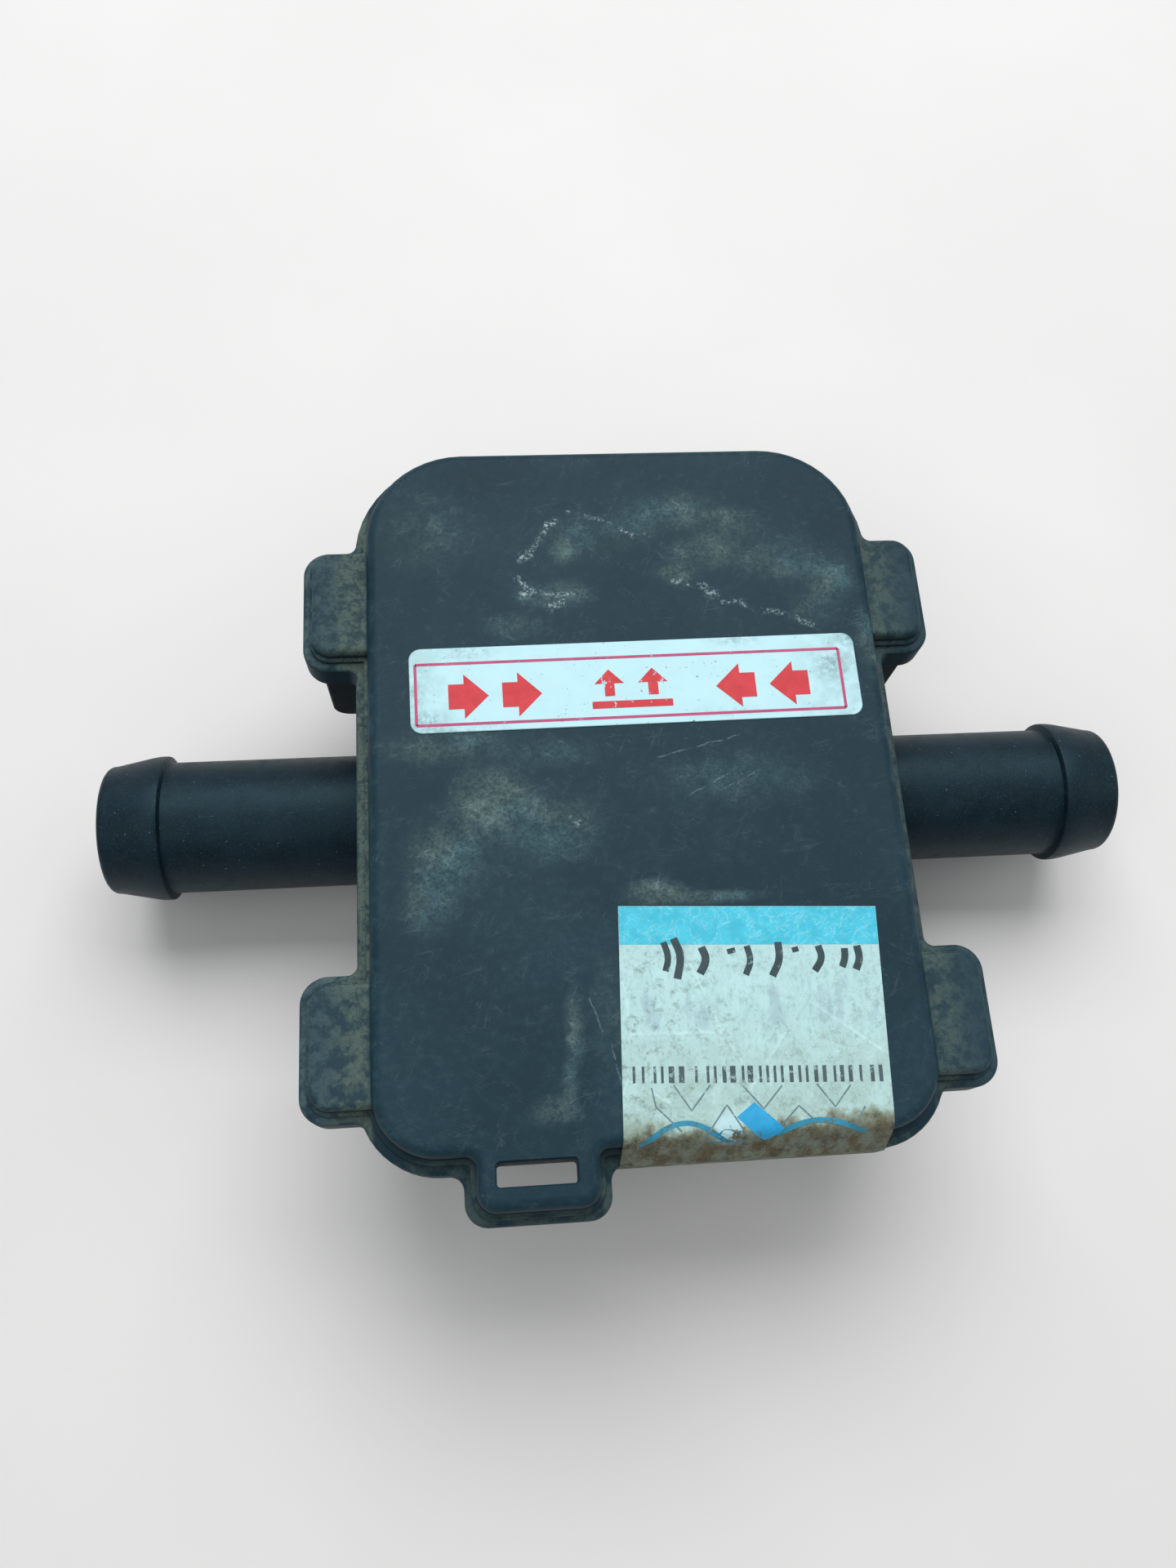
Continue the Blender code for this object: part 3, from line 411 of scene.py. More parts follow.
# ---------------------------------------------------------------- materials
class Value:
    """A number, place or colour that changes over a surface; arithmetic on it adds nodes to its look."""

    def __init__(self, look, socket):
        self.look, self.socket = look, socket

    def __add__(self, other):
        return self.look.math("ADD", self, other)

    def __radd__(self, other):
        return self.look.math("ADD", other, self)

    def __sub__(self, other):
        return self.look.math("SUBTRACT", self, other)

    def __rsub__(self, other):
        return self.look.math("SUBTRACT", other, self)

    def __mul__(self, other):
        return self.look.math("MULTIPLY", self, other)

    def __abs__(self):
        return self.look.math("ABSOLUTE", self)

    def least(self, other):
        """The lower of this and another."""
        return self.look.math("MINIMUM", self, other)

    def ramp(self, low, high, to_low=0.0, to_high=1.0):
        """A smooth step from low to high."""
        node = self.look.node("ShaderNodeMapRange", self, low, high, to_low, to_high)
        node.interpolation_type = "SMOOTHSTEP"
        return Value(self.look, node.outputs[0])


def most(*values):
    """The highest of several values."""
    return reduce(lambda a, b: a.look.math("MAXIMUM", a, b), values)


def scaled(colour, factor, lift=0.0):
    """A colour made lighter or darker, with some grey added."""
    return tuple(min(1.0, factor * part + lift) for part in colour)


class Look:
    """A material being wired. Coordinates are millimetres in the piece's own space."""

    def __init__(self, name, colour, roughness, metallic=0.0, **sockets):
        self.material = bpy.data.materials.new(name)
        self.material.use_nodes = True
        self.tree = self.material.node_tree
        self.shader = self.tree.nodes["Principled BSDF"]
        self.shade = colour
        sockets.update({"Base Color": (*colour, 1.0), "Roughness": roughness, "Metallic": metallic})
        for socket, value in sockets.items():
            self.shader.inputs[socket.replace("_", " ")].default_value = value
        place = self.tree.nodes.new("ShaderNodeTexCoord").outputs["Object"]
        self.mm = self.vector("SCALE", place, scale=1 / MM)
        split = self.node("ShaderNodeSeparateXYZ", self.mm)
        self.x, self.y, self.z = [Value(self, socket) for socket in split.outputs]

    def feed(self, socket, value):
        """Link a value to a socket, or set the socket to a constant."""
        value = value.socket if isinstance(value, Value) else value
        if isinstance(value, bpy.types.NodeSocket):
            self.tree.links.new(value, socket)
        else:
            socket.default_value = value

    def node(self, kind, *values, **named):
        """A new node with its first inputs fed in order and others by name."""
        node = self.tree.nodes.new(kind)
        for socket, value in zip(node.inputs, values):
            self.feed(socket, value)
        for name, value in named.items():
            self.feed(node.inputs[name], value)
        return node

    def vector(self, operation, a, b=None, scale=None):
        """Arithmetic on places; a length or a dot product gives a number."""
        node = self.tree.nodes.new("ShaderNodeVectorMath")
        node.operation = operation
        for place, value in ((0, a), (1, b), ("Scale", scale)):
            if value is not None:
                self.feed(node.inputs[place], value)
        return Value(self, node.outputs["Value" if operation in ("LENGTH", "DOT_PRODUCT") else "Vector"])

    def math(self, operation, a, b=0.0):
        """Arithmetic on numbers."""
        node = self.node("ShaderNodeMath", a, b, 0.0)
        node.operation = operation
        return Value(self, node.outputs[0])

    def noise(self, scale, detail=4.0, rough=0.55, stretch=(1.0, 1.0, 1.0), offset=0.0):
        """Clouds from 0 to 1; scale is how many there are in a millimetre."""
        place = self.vector("MULTIPLY", self.mm, stretch)
        if offset:
            place = self.vector("ADD", place, (offset, 2 * offset, -offset))
        node = self.node("ShaderNodeTexNoise", Vector=place, Scale=scale, Detail=detail, Roughness=rough)
        return Value(self, node.outputs[0])

    def hairlines(self, scale, degrees, long, width=0.012, offset=0.0):
        """Thin wavering lines that run at an angle in the XY plane: 1 on a line."""
        turn = math.radians(degrees)
        along = self.vector("DOT_PRODUCT", self.mm, (math.cos(turn) / long, math.sin(turn) / long, 0.0))
        across = self.vector("DOT_PRODUCT", self.mm, (-math.sin(turn), math.cos(turn), 0.0))
        place = self.node("ShaderNodeCombineXYZ", along, across, offset).outputs[0]
        node = self.node("ShaderNodeTexNoise", Vector=place, Scale=scale, Detail=2.0)
        return abs(Value(self, node.outputs[0]) - 0.5).ramp(width, 0.0)

    def cell_edges(self, scale, stretch):
        """Distance to the nearest edge of a network of cells."""
        place = self.vector("MULTIPLY", self.mm, stretch)
        node = self.node("ShaderNodeTexVoronoi", Vector=place, Scale=scale)
        node.feature = "DISTANCE_TO_EDGE"
        return Value(self, node.outputs["Distance"])

    def mix(self, amount, a, b):
        """Colour a with an amount of b over it."""
        node = self.tree.nodes.new("ShaderNodeMix")
        node.data_type = "RGBA"
        self.feed(node.inputs["Factor"], amount)
        for socket, value in ((node.inputs[6], a), (node.inputs[7], b)):
            self.feed(socket, (*value, 1.0) if isinstance(value, tuple) else value)
        return Value(self, node.outputs[2])

    def paint(self, amount, colour):
        """Put an amount of a colour over the shade so far."""
        self.shade = self.mix(amount, self.shade, colour)

    def blob(self, x, y, reach_x, reach_y, strength=1.0):
        """A soft patch round a point of the XY plane."""
        offset = self.vector("SUBTRACT", self.mm, (x, y, 0.0))
        flat = self.vector("MULTIPLY", offset, (1 / reach_x, 1 / reach_y, 0.0))
        return self.vector("LENGTH", flat).ramp(1.0, 0.0, 0.0, strength)

    def near_line(self, points, width, wobble=0.0):
        """How near a point is to a broken line in the XY plane: 1 on it, 0 at width."""
        place = self.mm
        if wobble:
            shift = self.node("ShaderNodeTexNoise", Vector=self.mm, Scale=0.8, Detail=4.0)
            centred = self.vector("SUBTRACT", shift.outputs["Color"], (0.5, 0.5, 0.5))
            place = self.vector("ADD", self.mm, self.vector("SCALE", centred, scale=wobble))
        flat = self.vector("MULTIPLY", place, (1.0, 1.0, 0.0))
        found = []
        for (ax, ay), (bx, by) in zip(points, points[1:]):
            along = Vector((bx - ax, by - ay, 0.0))
            from_a = self.vector("SUBTRACT", flat, (ax, ay, 0.0))
            share = self.vector("DOT_PRODUCT", from_a, tuple(along / along.length_squared))
            share = self.math("MAXIMUM", share, 0.0).least(1.0)
            foot = self.vector("SCALE", tuple(along), scale=share)
            found.append(self.vector("LENGTH", self.vector("SUBTRACT", from_a, foot)))
        return reduce(Value.least, found).ramp(width, 0.0)

    def finish(self, roughness, *heights):
        """Link the shade, the roughness and bumps: pairs of a height and how far it stands up."""
        self.feed(self.shader.inputs["Base Color"], self.shade)
        self.feed(self.shader.inputs["Roughness"], roughness)
        normal = None
        for height, depth in heights:
            node = self.node("ShaderNodeBump", Strength=1.0, Distance=depth * MM, Height=height)
            if normal:
                self.feed(node.inputs["Normal"], normal)
            normal = node.outputs[0]
        self.feed(self.shader.inputs["Normal"], normal)
        return self.material


# Dried dust on the lid's face: x, y, reach across, reach along, strength
LID_DUST = [(5.5, 22.4, 6.5, 2.8, 0.95), (9.8, 21.0, 4.0, 2.6, 0.9), (1.2, 20.8, 4.0, 2.6, 0.7),
            (8.0, 18.3, 5.0, 2.4, 1.1), (14.5, 17.4, 4.8, 3.0, 1.0), (18.5, 15.4, 3.2, 3.4, 1.4),
            (16.8, 12.4, 3.4, 2.4, 0.7), (4.9, 16.2, 2.8, 1.6, 1.0), (-4.9, 18.6, 1.7, 1.7, 1.5),
            (-3.4, 20.2, 5.0, 3.2, 0.6), (-6.0, 14.5, 5.0, 1.9, 1.1), (-16.5, 21.0, 6.5, 5.5, 0.45),
            (-9.5, 11.6, 4.0, 1.8, 0.7), (-15.5, 0.9, 7.0, 2.2, 1.1), (-6.5, 0.0, 6.5, 2.0, 0.5),
            (-12.0, -4.2, 4.6, 4.2, 1.8), (-15.6, -8.4, 4.6, 5.0, 1.15), (-17.2, -12.4, 3.0, 3.6, 1.0),
            (-7.2, -6.2, 5.5, 4.6, 0.85), (0.9, -12.3, 3.4, 1.5, 2.2), (5.6, -12.9, 5.0, 0.8, 1.6),
            (8.0, -2.8, 10.0, 3.4, 0.6), (-6.3, -22.6, 1.1, 3.8, 1.2), (-6.9, -26.6, 0.9, 3.0, 0.9),
            (-8.2, -28.8, 2.4, 1.5, 1.2), (-3.4, -23.0, 2.4, 8.0, 0.4), (21.4, 9.2, 1.8, 5.0, 1.0)]
# White scuffs: broken lines with their width and how far they wander
LID_SCUFFS = [([(-3.9, 22.4), (-1.0, 21.8), (0.4, 20.8), (2.5, 19.9)], 0.46, 1.8),
              ([(-5.7, 21.7), (-6.3, 20.6), (-7.0, 19.3), (-8.9, 17.9), (-8.9, 16.3), (-7.9, 15.0),
                (-8.7, 14.0)], 0.52, 1.6),
              ([(-7.9, 15.0), (-5.7, 14.4), (-3.7, 14.5)], 0.42, 1.4),
              ([(-6.2, 13.3), (-5.2, 13.7)], 0.6, 1.0),
              ([(4.7, 15.5), (6.4, 15.2), (7.9, 14.3), (9.5, 13.6), (12.6, 12.4), (14.5, 11.7),
                (16.7, 10.7)], 0.50, 1.8),
              ([(8.7, 25.3), (9.1, 25.4)], 0.34, 0.0), ([(-5.5, -5.5), (-5.1, -6.2)], 0.5, 0.6)]
LID_SCRATCHES = [[(4.2, -4.3), (7.6, -2.6)], [(6.8, -3.9), (10.4, -2.2)], [(2.0, -0.8), (9.0, 0.9)],
                 [(-3.6, -24.0), (-2.9, -27.6)], [(-5.0, -20.4), (-4.2, -23.0)]]


def lid_look():
    """Charcoal moulding with dried dust, greasy patches and white scuffs, with a painted highlight on the
    face's rim and painted shade at the feet of its raised parts.
    """
    look = Look("lid_plastic_look", (0.006, 0.034, 0.056), 0.55, Specular_IOR_Level=0.14)
    broad = look.noise(0.07, 3, 0.55)
    cloud = look.noise(0.42, 8, 0.70)
    mottle = look.noise(1.3, 6, 0.72, offset=15.0)
    speckle = look.noise(3.2, 5, 0.75, offset=11.0)
    side = abs(look.x)
    left = look.x.ramp(-21.0, -22.0)

    # on the raised face
    above = look.z.ramp(25.2, 25.7)
    spots = reduce(Value.__add__, [look.blob(*patch) for patch in LID_DUST]).least(1.5)
    clumps = (cloud * 0.45 + mottle * 0.30 + speckle * 0.25).ramp(0.37, 0.64, 0.10, 1.0)
    haze = broad.ramp(0.35, 0.75) * mottle.ramp(0.42, 0.75) * 0.20
    top_dust = (spots * clumps + haze) * above
    gaps = look.noise(0.55, 3, 0.6, offset=41.0).ramp(0.42, 0.56)
    flakes = look.noise(2.8, 6, 0.8, offset=21.0).ramp(0.46, 0.56) * gaps
    scuff = most(*[look.near_line(*scuff) for scuff in LID_SCUFFS]) * flakes * above
    scratches = most(*[look.near_line(points, 0.10, 0.5) for points in LID_SCRATCHES])
    combed = most(look.hairlines(0.9, 12, 9.0), look.hairlines(1.1, -35, 7.0, offset=5.0),
                  look.hairlines(1.0, 68, 8.0, offset=9.0))
    combed = combed * cloud.ramp(0.46, 0.62) * (0.05 + spots * 0.12)
    rub = most(scratches * mottle.ramp(0.40, 0.55) * 0.2, combed) * above
    # painted highlight with some wear: a lighter band along the face's rounded rim
    rim_wear_and_highlight = look.z.ramp(25.15, 25.7) * look.z.ramp(25.99, 25.85) * cloud.ramp(0.45, 0.7) * 0.5

    # on the ears' pads, the flange beside them, and the steps at their feet
    on_pad = side.ramp(21.7, 22.2) * look.z.ramp(22.9, 23.3) * look.z.ramp(25.3, 24.7)
    worn = look.noise(0.75, 6, 0.65, offset=5.0) * 0.8 + speckle * 0.2
    pad_amount = left * 0.45 + side.ramp(25.6, 22.8) * 0.50 + 0.34
    pad_dust = on_pad * pad_amount * worn.ramp(0.41, 0.57, 0.12, 1.0)
    shelf = (side.ramp(21.8, 22.1) * look.z.ramp(23.5, 23.25) * look.z.ramp(22.8, 23.1)
             * look.noise(0.5, 6, 0.7, offset=3.0).ramp(0.38, 0.58) * (left * 0.7 + 0.45))
    foot_shelf = (look.y.ramp(-31.4, -31.9) * look.z.ramp(23.8, 23.72)
                  * look.noise(0.7, 4, 0.6, offset=9.0).ramp(0.38, 0.60) * 0.5)
    low_dust = most(pad_dust, shelf, foot_shelf)
    # painted shade: a dark band at the foot of the raised face and the pads, and on the small step above the
    # flange
    foot_shade = most(look.z.ramp(24.25, 23.9) * look.z.ramp(23.72, 23.76),
                  look.z.ramp(23.6, 23.35) * look.z.ramp(23.2, 23.23))

    grit = speckle.ramp(0.30, 0.60, 0.45, 1.0)
    tone = look.noise(0.10, 3, 0.6, offset=33.0).ramp(0.42, 0.58)
    dry = look.mix(tone, (0.078, 0.152, 0.172), (0.094, 0.146, 0.138))
    pad_tint = look.mix(side.ramp(26.0, 23.5), (0.070, 0.118, 0.130), (0.094, 0.135, 0.116))
    look.shade = (0.0075, 0.0285, 0.0425)
    look.paint(broad.ramp(0.3, 0.7), (0.0115, 0.0370, 0.0540))
    look.paint(mottle.ramp(0.45, 0.7) * 0.45, (0.0155, 0.0455, 0.0630))
    # painted highlight and wear along the face's rounded rim
    look.paint(rim_wear_and_highlight, (0.030, 0.078, 0.105))
    look.paint((top_dust * grit * 0.92).least(0.95), dry)
    look.paint(low_dust * grit * 0.95, pad_tint)
    # painted shade in the steps at the feet of the raised parts
    look.paint(foot_shade * 0.8, (0.006, 0.010, 0.011))
    look.paint((scuff * 0.85 + rub).least(1.0), (0.36, 0.50, 0.52))
    dust = most(top_dust, low_dust)
    return look.finish(0.48 + dust * 0.25 + scuff * 0.2 + mottle * 0.08, (look.noise(9.0, 3, 0.6), 0.012),
                       (dust * speckle + scuff, 0.03), (broad, 0.05))


def moulding_look(name, colour, roughness, grain, dust, specular, sheen):
    """A black moulding with fine grain, faint flow marks and a little dust."""
    look = Look(name, colour, roughness, Specular_IOR_Level=specular, Specular_Tint=(*sheen, 1.0))
    cloud = look.noise(0.3, 5, 0.6)
    fine = look.noise(4.5, 4, 0.7, offset=2.0)
    specks = look.noise(3.6, 3, 0.6, offset=4.0).ramp(0.715, 0.745)
    film = look.noise(0.6, 5, 0.65, offset=8.0).ramp(0.48, 0.72)
    look.paint(cloud.ramp(0.35, 0.7), scaled(colour, 1.6, 0.001))
    look.paint(fine.ramp(0.52, 0.68), scaled(colour, 3.0))
    look.paint(film * dust, scaled(colour, 1.0, 0.08))
    look.paint(specks * 0.6, (0.30, 0.36, 0.36))
    return look.finish(roughness - 0.08 + cloud * 0.1 + film * 0.12 + fine * 0.08,
                       (look.noise(7.0, 4, 0.6), grain), (look.noise(0.5, 2, 0.5), 0.03))


def rubber_look(name, colour, roughness=0.6):
    """Rubber with a pale bloom in patches."""
    look = Look(name, colour, roughness, Specular_IOR_Level=0.4)
    cloud = look.noise(0.8, 5, 0.6)
    bloom = look.noise(1.6, 4, 0.65, offset=3.0).ramp(0.5, 0.75)
    look.paint(cloud.ramp(0.3, 0.7), scaled(colour, 1.35))
    look.paint(bloom * 0.2, scaled(colour, 1.0, 0.08))
    return look.finish(roughness + cloud * 0.15 - 0.05, (look.noise(12.0, 3, 0.6), 0.006), (cloud, 0.02))


def metal_look(name, colour, roughness, scratches=40.0):
    """Plated metal with fine drawn marks and slight tarnish."""
    look = Look(name, colour, roughness, metallic=1.0)
    tarnish = look.noise(1.2, 5, 0.6).ramp(0.45, 0.75)
    drawn = look.noise(scratches, 2, 0.5, stretch=(1.0, 0.15, 0.15))
    look.paint(tarnish * 0.5, scaled(colour, 0.55))
    return look.finish(roughness + tarnish * 0.2 + drawn * 0.1, (drawn, 0.004),
                       (look.noise(6.0, 3, 0.5), 0.004))


# Greasy smudges on the label, as for the lid's dust
LABEL_SMUDGES = [(17.6, 7.0, 2.6, 2.6, 0.8), (-17.0, 3.0, 2.6, 1.6, 0.8), (19.6, 9.6, 2.0, 1.8, 1.0),
                 (-18.0, 6.0, 1.8, 3.0, 0.6), (9.5, 9.6, 3.6, 0.9, 0.6), (8.0, 3.0, 5.0, 0.8, 0.3),
                 (-13.5, 9.2, 4.0, 1.0, 0.5), (-13.5, 2.0, 5.0, 0.9, 0.7)]


def label_look():
    """Glossy pale film with greasy smudges, dirt along its edges and small dark specks."""
    look = Look("label_film_look", (0.42, 0.69, 0.76), 0.36, Specular_IOR_Level=0.35)
    cloud = look.noise(0.5, 5, 0.65)
    smudges = reduce(Value.__add__, [look.blob(*patch) for patch in LABEL_SMUDGES])
    grime = smudges * look.noise(1.7, 5, 0.7, offset=2.0).ramp(0.38, 0.62)
    specks = look.noise(3.2, 4, 0.6, offset=31.0).ramp(0.655, 0.69) * cloud.ramp(0.4, 0.6)
    veil = abs(look.x).ramp(12.0, 19.5, 0.10, 0.85) * cloud.ramp(0.36, 0.62)
    look.shade = (0.445, 0.715, 0.785)
    look.paint(veil, (0.325, 0.535, 0.560))
    look.paint(grime * 0.62, (0.11, 0.16, 0.15))
    look.paint(specks * 0.8, (0.03, 0.035, 0.035))
    return look.finish(0.33 + grime * 0.4 + cloud * 0.1, (look.noise(0.35, 3, 0.5), 0.05),
                       (look.noise(9.0, 3, 0.6), 0.003))


def ink_look(name, colour, worn, under, amount, scratched=0.0):
    """Printed ink that has flaked off in places; worn is how much is gone there."""
    look = Look(name, colour, 0.45, Specular_IOR_Level=0.25)
    flakes = look.noise(1.5, 5, 0.7, offset=7.0).ramp(1.0 - worn, 1.04 - worn)
    uneven = look.noise(0.8, 4, 0.6)
    look.paint(uneven.ramp(0.3, 0.7), scaled(colour, 1.18, 0.01))
    look.paint(flakes * amount, under)
    heights = [(look.noise(6.0, 3, 0.6), 0.004), (flakes, 0.01)]
    if scratched:
        lines = most(look.hairlines(1.6, 28, 5.0, 0.02), look.hairlines(1.9, -40, 4.0, 0.02, 3.0),
                     look.hairlines(1.3, 75, 5.0, 0.015, 7.0)) * uneven.ramp(0.36, 0.52)
        look.paint(lines * scratched, (0.32, 0.72, 0.80))
        heights.append((lines, 0.008))
    return look.finish(0.39 + flakes * 0.3 + uneven * 0.08, *heights)


BARE_PAPER = (0.60, 0.84, 0.84)


def paper_look(name, tint, aged):
    """Security paper: fibres, creases, faint grey print, brown dirt along its lower edge."""
    look = Look(name, tint, 0.62, Specular_IOR_Level=0.3)
    cloud = look.noise(0.45, 6, 0.7, offset=13.0)
    fibre = look.noise(2.6, 5, 0.7, stretch=(1.0, 0.5, 1.0))
    dirt = look.noise(1.1, 6, 0.75, offset=23.0).ramp(0.51, 0.66)
    crease = look.cell_edges(0.13, (1.0, 0.6, 0.6)).ramp(0.02, 0.0)
    hairs = most(look.hairlines(1.2, 35, 6.0, 0.014), look.hairlines(1.5, -50, 5.0, 0.014, 3.0),
                 look.hairlines(1.1, 8, 7.0, 0.012, 7.0))
    faint = (look.noise(0.9, 3, 0.5, stretch=(1.0, 0.25, 1.0), offset=17.0).ramp(0.50, 0.62)
             * look.y.ramp(-24.0, -22.5) * look.y.ramp(-19.5, -20.5))
    look.paint(look.y.ramp(-21.0, -29.5), aged)
    look.paint(cloud.ramp(0.42, 0.66) * 0.5, scaled(tint, 1.16))
    look.paint(fibre.ramp(0.45, 0.7) * 0.40, scaled(aged, 0.60))
    look.paint(dirt * (0.34 + look.x.ramp(9.0, -2.0) * 0.40), (0.150, 0.215, 0.190))
    look.paint(crease * cloud.ramp(0.45, 0.55) * 0.4, BARE_PAPER)
    look.paint(hairs * fibre.ramp(0.42, 0.55) * 0.3, BARE_PAPER)
    look.paint(faint * 0.30, (0.20, 0.29, 0.38))

    # the brown foot, with a ragged edge and a clean spot where the paper is torn
    wander = (look.noise(0.45, 5, 0.65, offset=6.0) - 0.5) * 4.0
    ragged = look.y + wander + look.x * -0.045
    left_dirt = ragged.ramp(-28.5, -31.0) * look.x.ramp(1.5, -3.0) * 0.45
    stain = (ragged.ramp(-30.2, -31.6) * 0.85 + look.z.ramp(25.4, 22.5) * 0.7 + left_dirt).least(0.94)
    torn = look.blob(4.9, -30.9, 2.0, 1.9, 1.6) * cloud.ramp(0.40, 0.48) * look.z.ramp(24.6, 25.6)
    stain = stain * (1.0 - torn.least(1.0))
    smear = look.noise(0.8, 5, 0.7, stretch=(1.0, 0.45, 0.6), offset=44.0).ramp(0.38, 0.60)
    look.paint(torn.least(1.0), (0.47, 0.70, 0.74))
    look.paint(stain.ramp(0.0, 0.5) * 0.8, (0.225, 0.270, 0.200))
    look.paint(stain.ramp(0.35, 1.05) * (0.45 + smear * 0.55), (0.108, 0.083, 0.040))
    look.paint(stain * look.noise(1.1, 6, 0.72).ramp(0.46, 0.68) * 0.72, (0.034, 0.032, 0.022))
    return look.finish(0.52 + fibre * 0.15 + stain * 0.2, (fibre, 0.015), (look.noise(0.25, 3, 0.5), 0.12),
                       (crease, 0.02), (look.noise(1.0, 3, 0.5, stretch=(0.4, 1.0, 1.0)), 0.02))


def board_look():
    """Green solder mask over woven glass."""
    look = Look("board_laminate_look", (0.02, 0.16, 0.07), 0.34, Coat_Weight=0.4, Coat_Roughness=0.15)
    glass = most(look.noise(1.0, 2, 0.5, stretch=(2.6, 0.25, 1.0)),
                 look.noise(1.0, 2, 0.5, stretch=(0.25, 2.6, 1.0)))
    cloud = look.noise(0.2, 3, 0.5)
    look.shade = (0.008, 0.10, 0.045)
    look.paint(glass.ramp(0.45, 0.75), (0.02, 0.17, 0.075))
    look.paint(cloud.ramp(0.4, 0.7) * 0.4, (0.006, 0.075, 0.04))
    return look.finish(0.28 + cloud * 0.12, (glass, 0.006), (look.noise(5.0, 3, 0.5), 0.004))


def grainy_look(name, colour, roughness, vary=0.25, grain=0.006, scale=3.0):
    """A plain moulded or ceramic surface with mottling and grain."""
    look = Look(name, colour, roughness)
    cloud = look.noise(scale, 5, 0.65)
    look.paint(cloud.ramp(0.35, 0.7), scaled(colour, 1 - vary))
    return look.finish(roughness - 0.06 + cloud * 0.14, (look.noise(14.0, 3, 0.6), grain), (cloud, 0.01))


def floor_look():
    """Pale matt board, hardly uneven."""
    look = Look("floor_look", (0.72, 0.72, 0.71), 0.6)
    cloud = look.noise(0.02, 4, 0.5)
    look.shade = (0.70, 0.70, 0.69)
    look.paint(cloud.ramp(0.35, 0.7), (0.73, 0.73, 0.72))
    return look.finish(0.56 + cloud * 0.1, (look.noise(1.2, 3, 0.5), 0.01))


SLOT_LOOKS = {
    "lid_plastic": lid_look(),
    "base_plastic": moulding_look("base_plastic_look", (0.0045, 0.0105, 0.0145), 0.52, 0.02, 0.16, 0.25,
                                  (0.70, 0.92, 1.0)),
    "tail_plastic": moulding_look("tail_plastic_look", (0.0035, 0.0095, 0.0150), 0.46, 0.022, 0.04, 0.26,
                                  (0.50, 0.86, 1.0)),
    "seal_rubber": rubber_look("seal_rubber_look", (0.012, 0.012, 0.013)),
    "port_silicone": rubber_look("port_silicone_look", (0.35, 0.06, 0.04), 0.5),
    "pin_metal": metal_look("pin_metal_look", (0.80, 0.74, 0.55), 0.28),
    "screw_steel": metal_look("screw_steel_look", (0.62, 0.62, 0.64), 0.3),
    "chip_moulding": grainy_look("chip_moulding_look", (0.022, 0.022, 0.024), 0.5),
    "capacitor_moulding": grainy_look("capacitor_moulding_look", (0.62, 0.36, 0.07), 0.38, 0.2),
    "sensor_ceramic": grainy_look("sensor_ceramic_look", (0.55, 0.54, 0.50), 0.5, 0.15),
    "thermistor_epoxy": grainy_look("thermistor_epoxy_look", (0.30, 0.16, 0.07), 0.25, 0.3),
    "filter_felt": grainy_look("filter_felt_look", (0.58, 0.56, 0.50), 0.9, 0.35, 0.05, 6.0),
    "board_laminate": board_look(),
}
SOLDER_LOOK = metal_look("solder_look", (0.62, 0.63, 0.64), 0.3, 12.0)
TRACE_LOOK = grainy_look("trace_look", (0.035, 0.27, 0.12), 0.28, 0.15)
MARK_LOOK = grainy_look("board_mark_look", (0.70, 0.70, 0.66), 0.5, 0.1)


# ---------------------------------------------------------------- lid
FACE_ARCS = box_arcs(-FACE_HALF, FACE_HALF, FACE_FOOT, FACE_TOP, FACE_R_FOOT, FACE_R_TOP)


def on_face_arcs(name, levels, offset=0.0):
    """A solid whose outline follows the raised face."""
    return upright(name, FACE_ARCS, moved_out(levels, offset))


def span(side, near, far):
    """Left and right of something that reaches from near to far on one side."""
    return sorted((side * near, side * far))


def raised_arcs():
    """The raised face with the tab's raised pad in one outline."""
    left, right, end = TAB_LEFT + PAD_LIP, TAB_RIGHT - PAD_LIP, TAB_END + PAD_LIP
    corner = 1.5
    tab = [(left - FILLET, FACE_FOOT - FILLET, FILLET, 90, 0),
           (left + corner, end + corner, corner, 180, 270), (right - corner, end + corner, corner, 270, 360),
           (right + FILLET, FACE_FOOT - FILLET, FILLET, 180, 90)]
    return [FACE_ARCS[0], *tab, *FACE_ARCS[1:]]


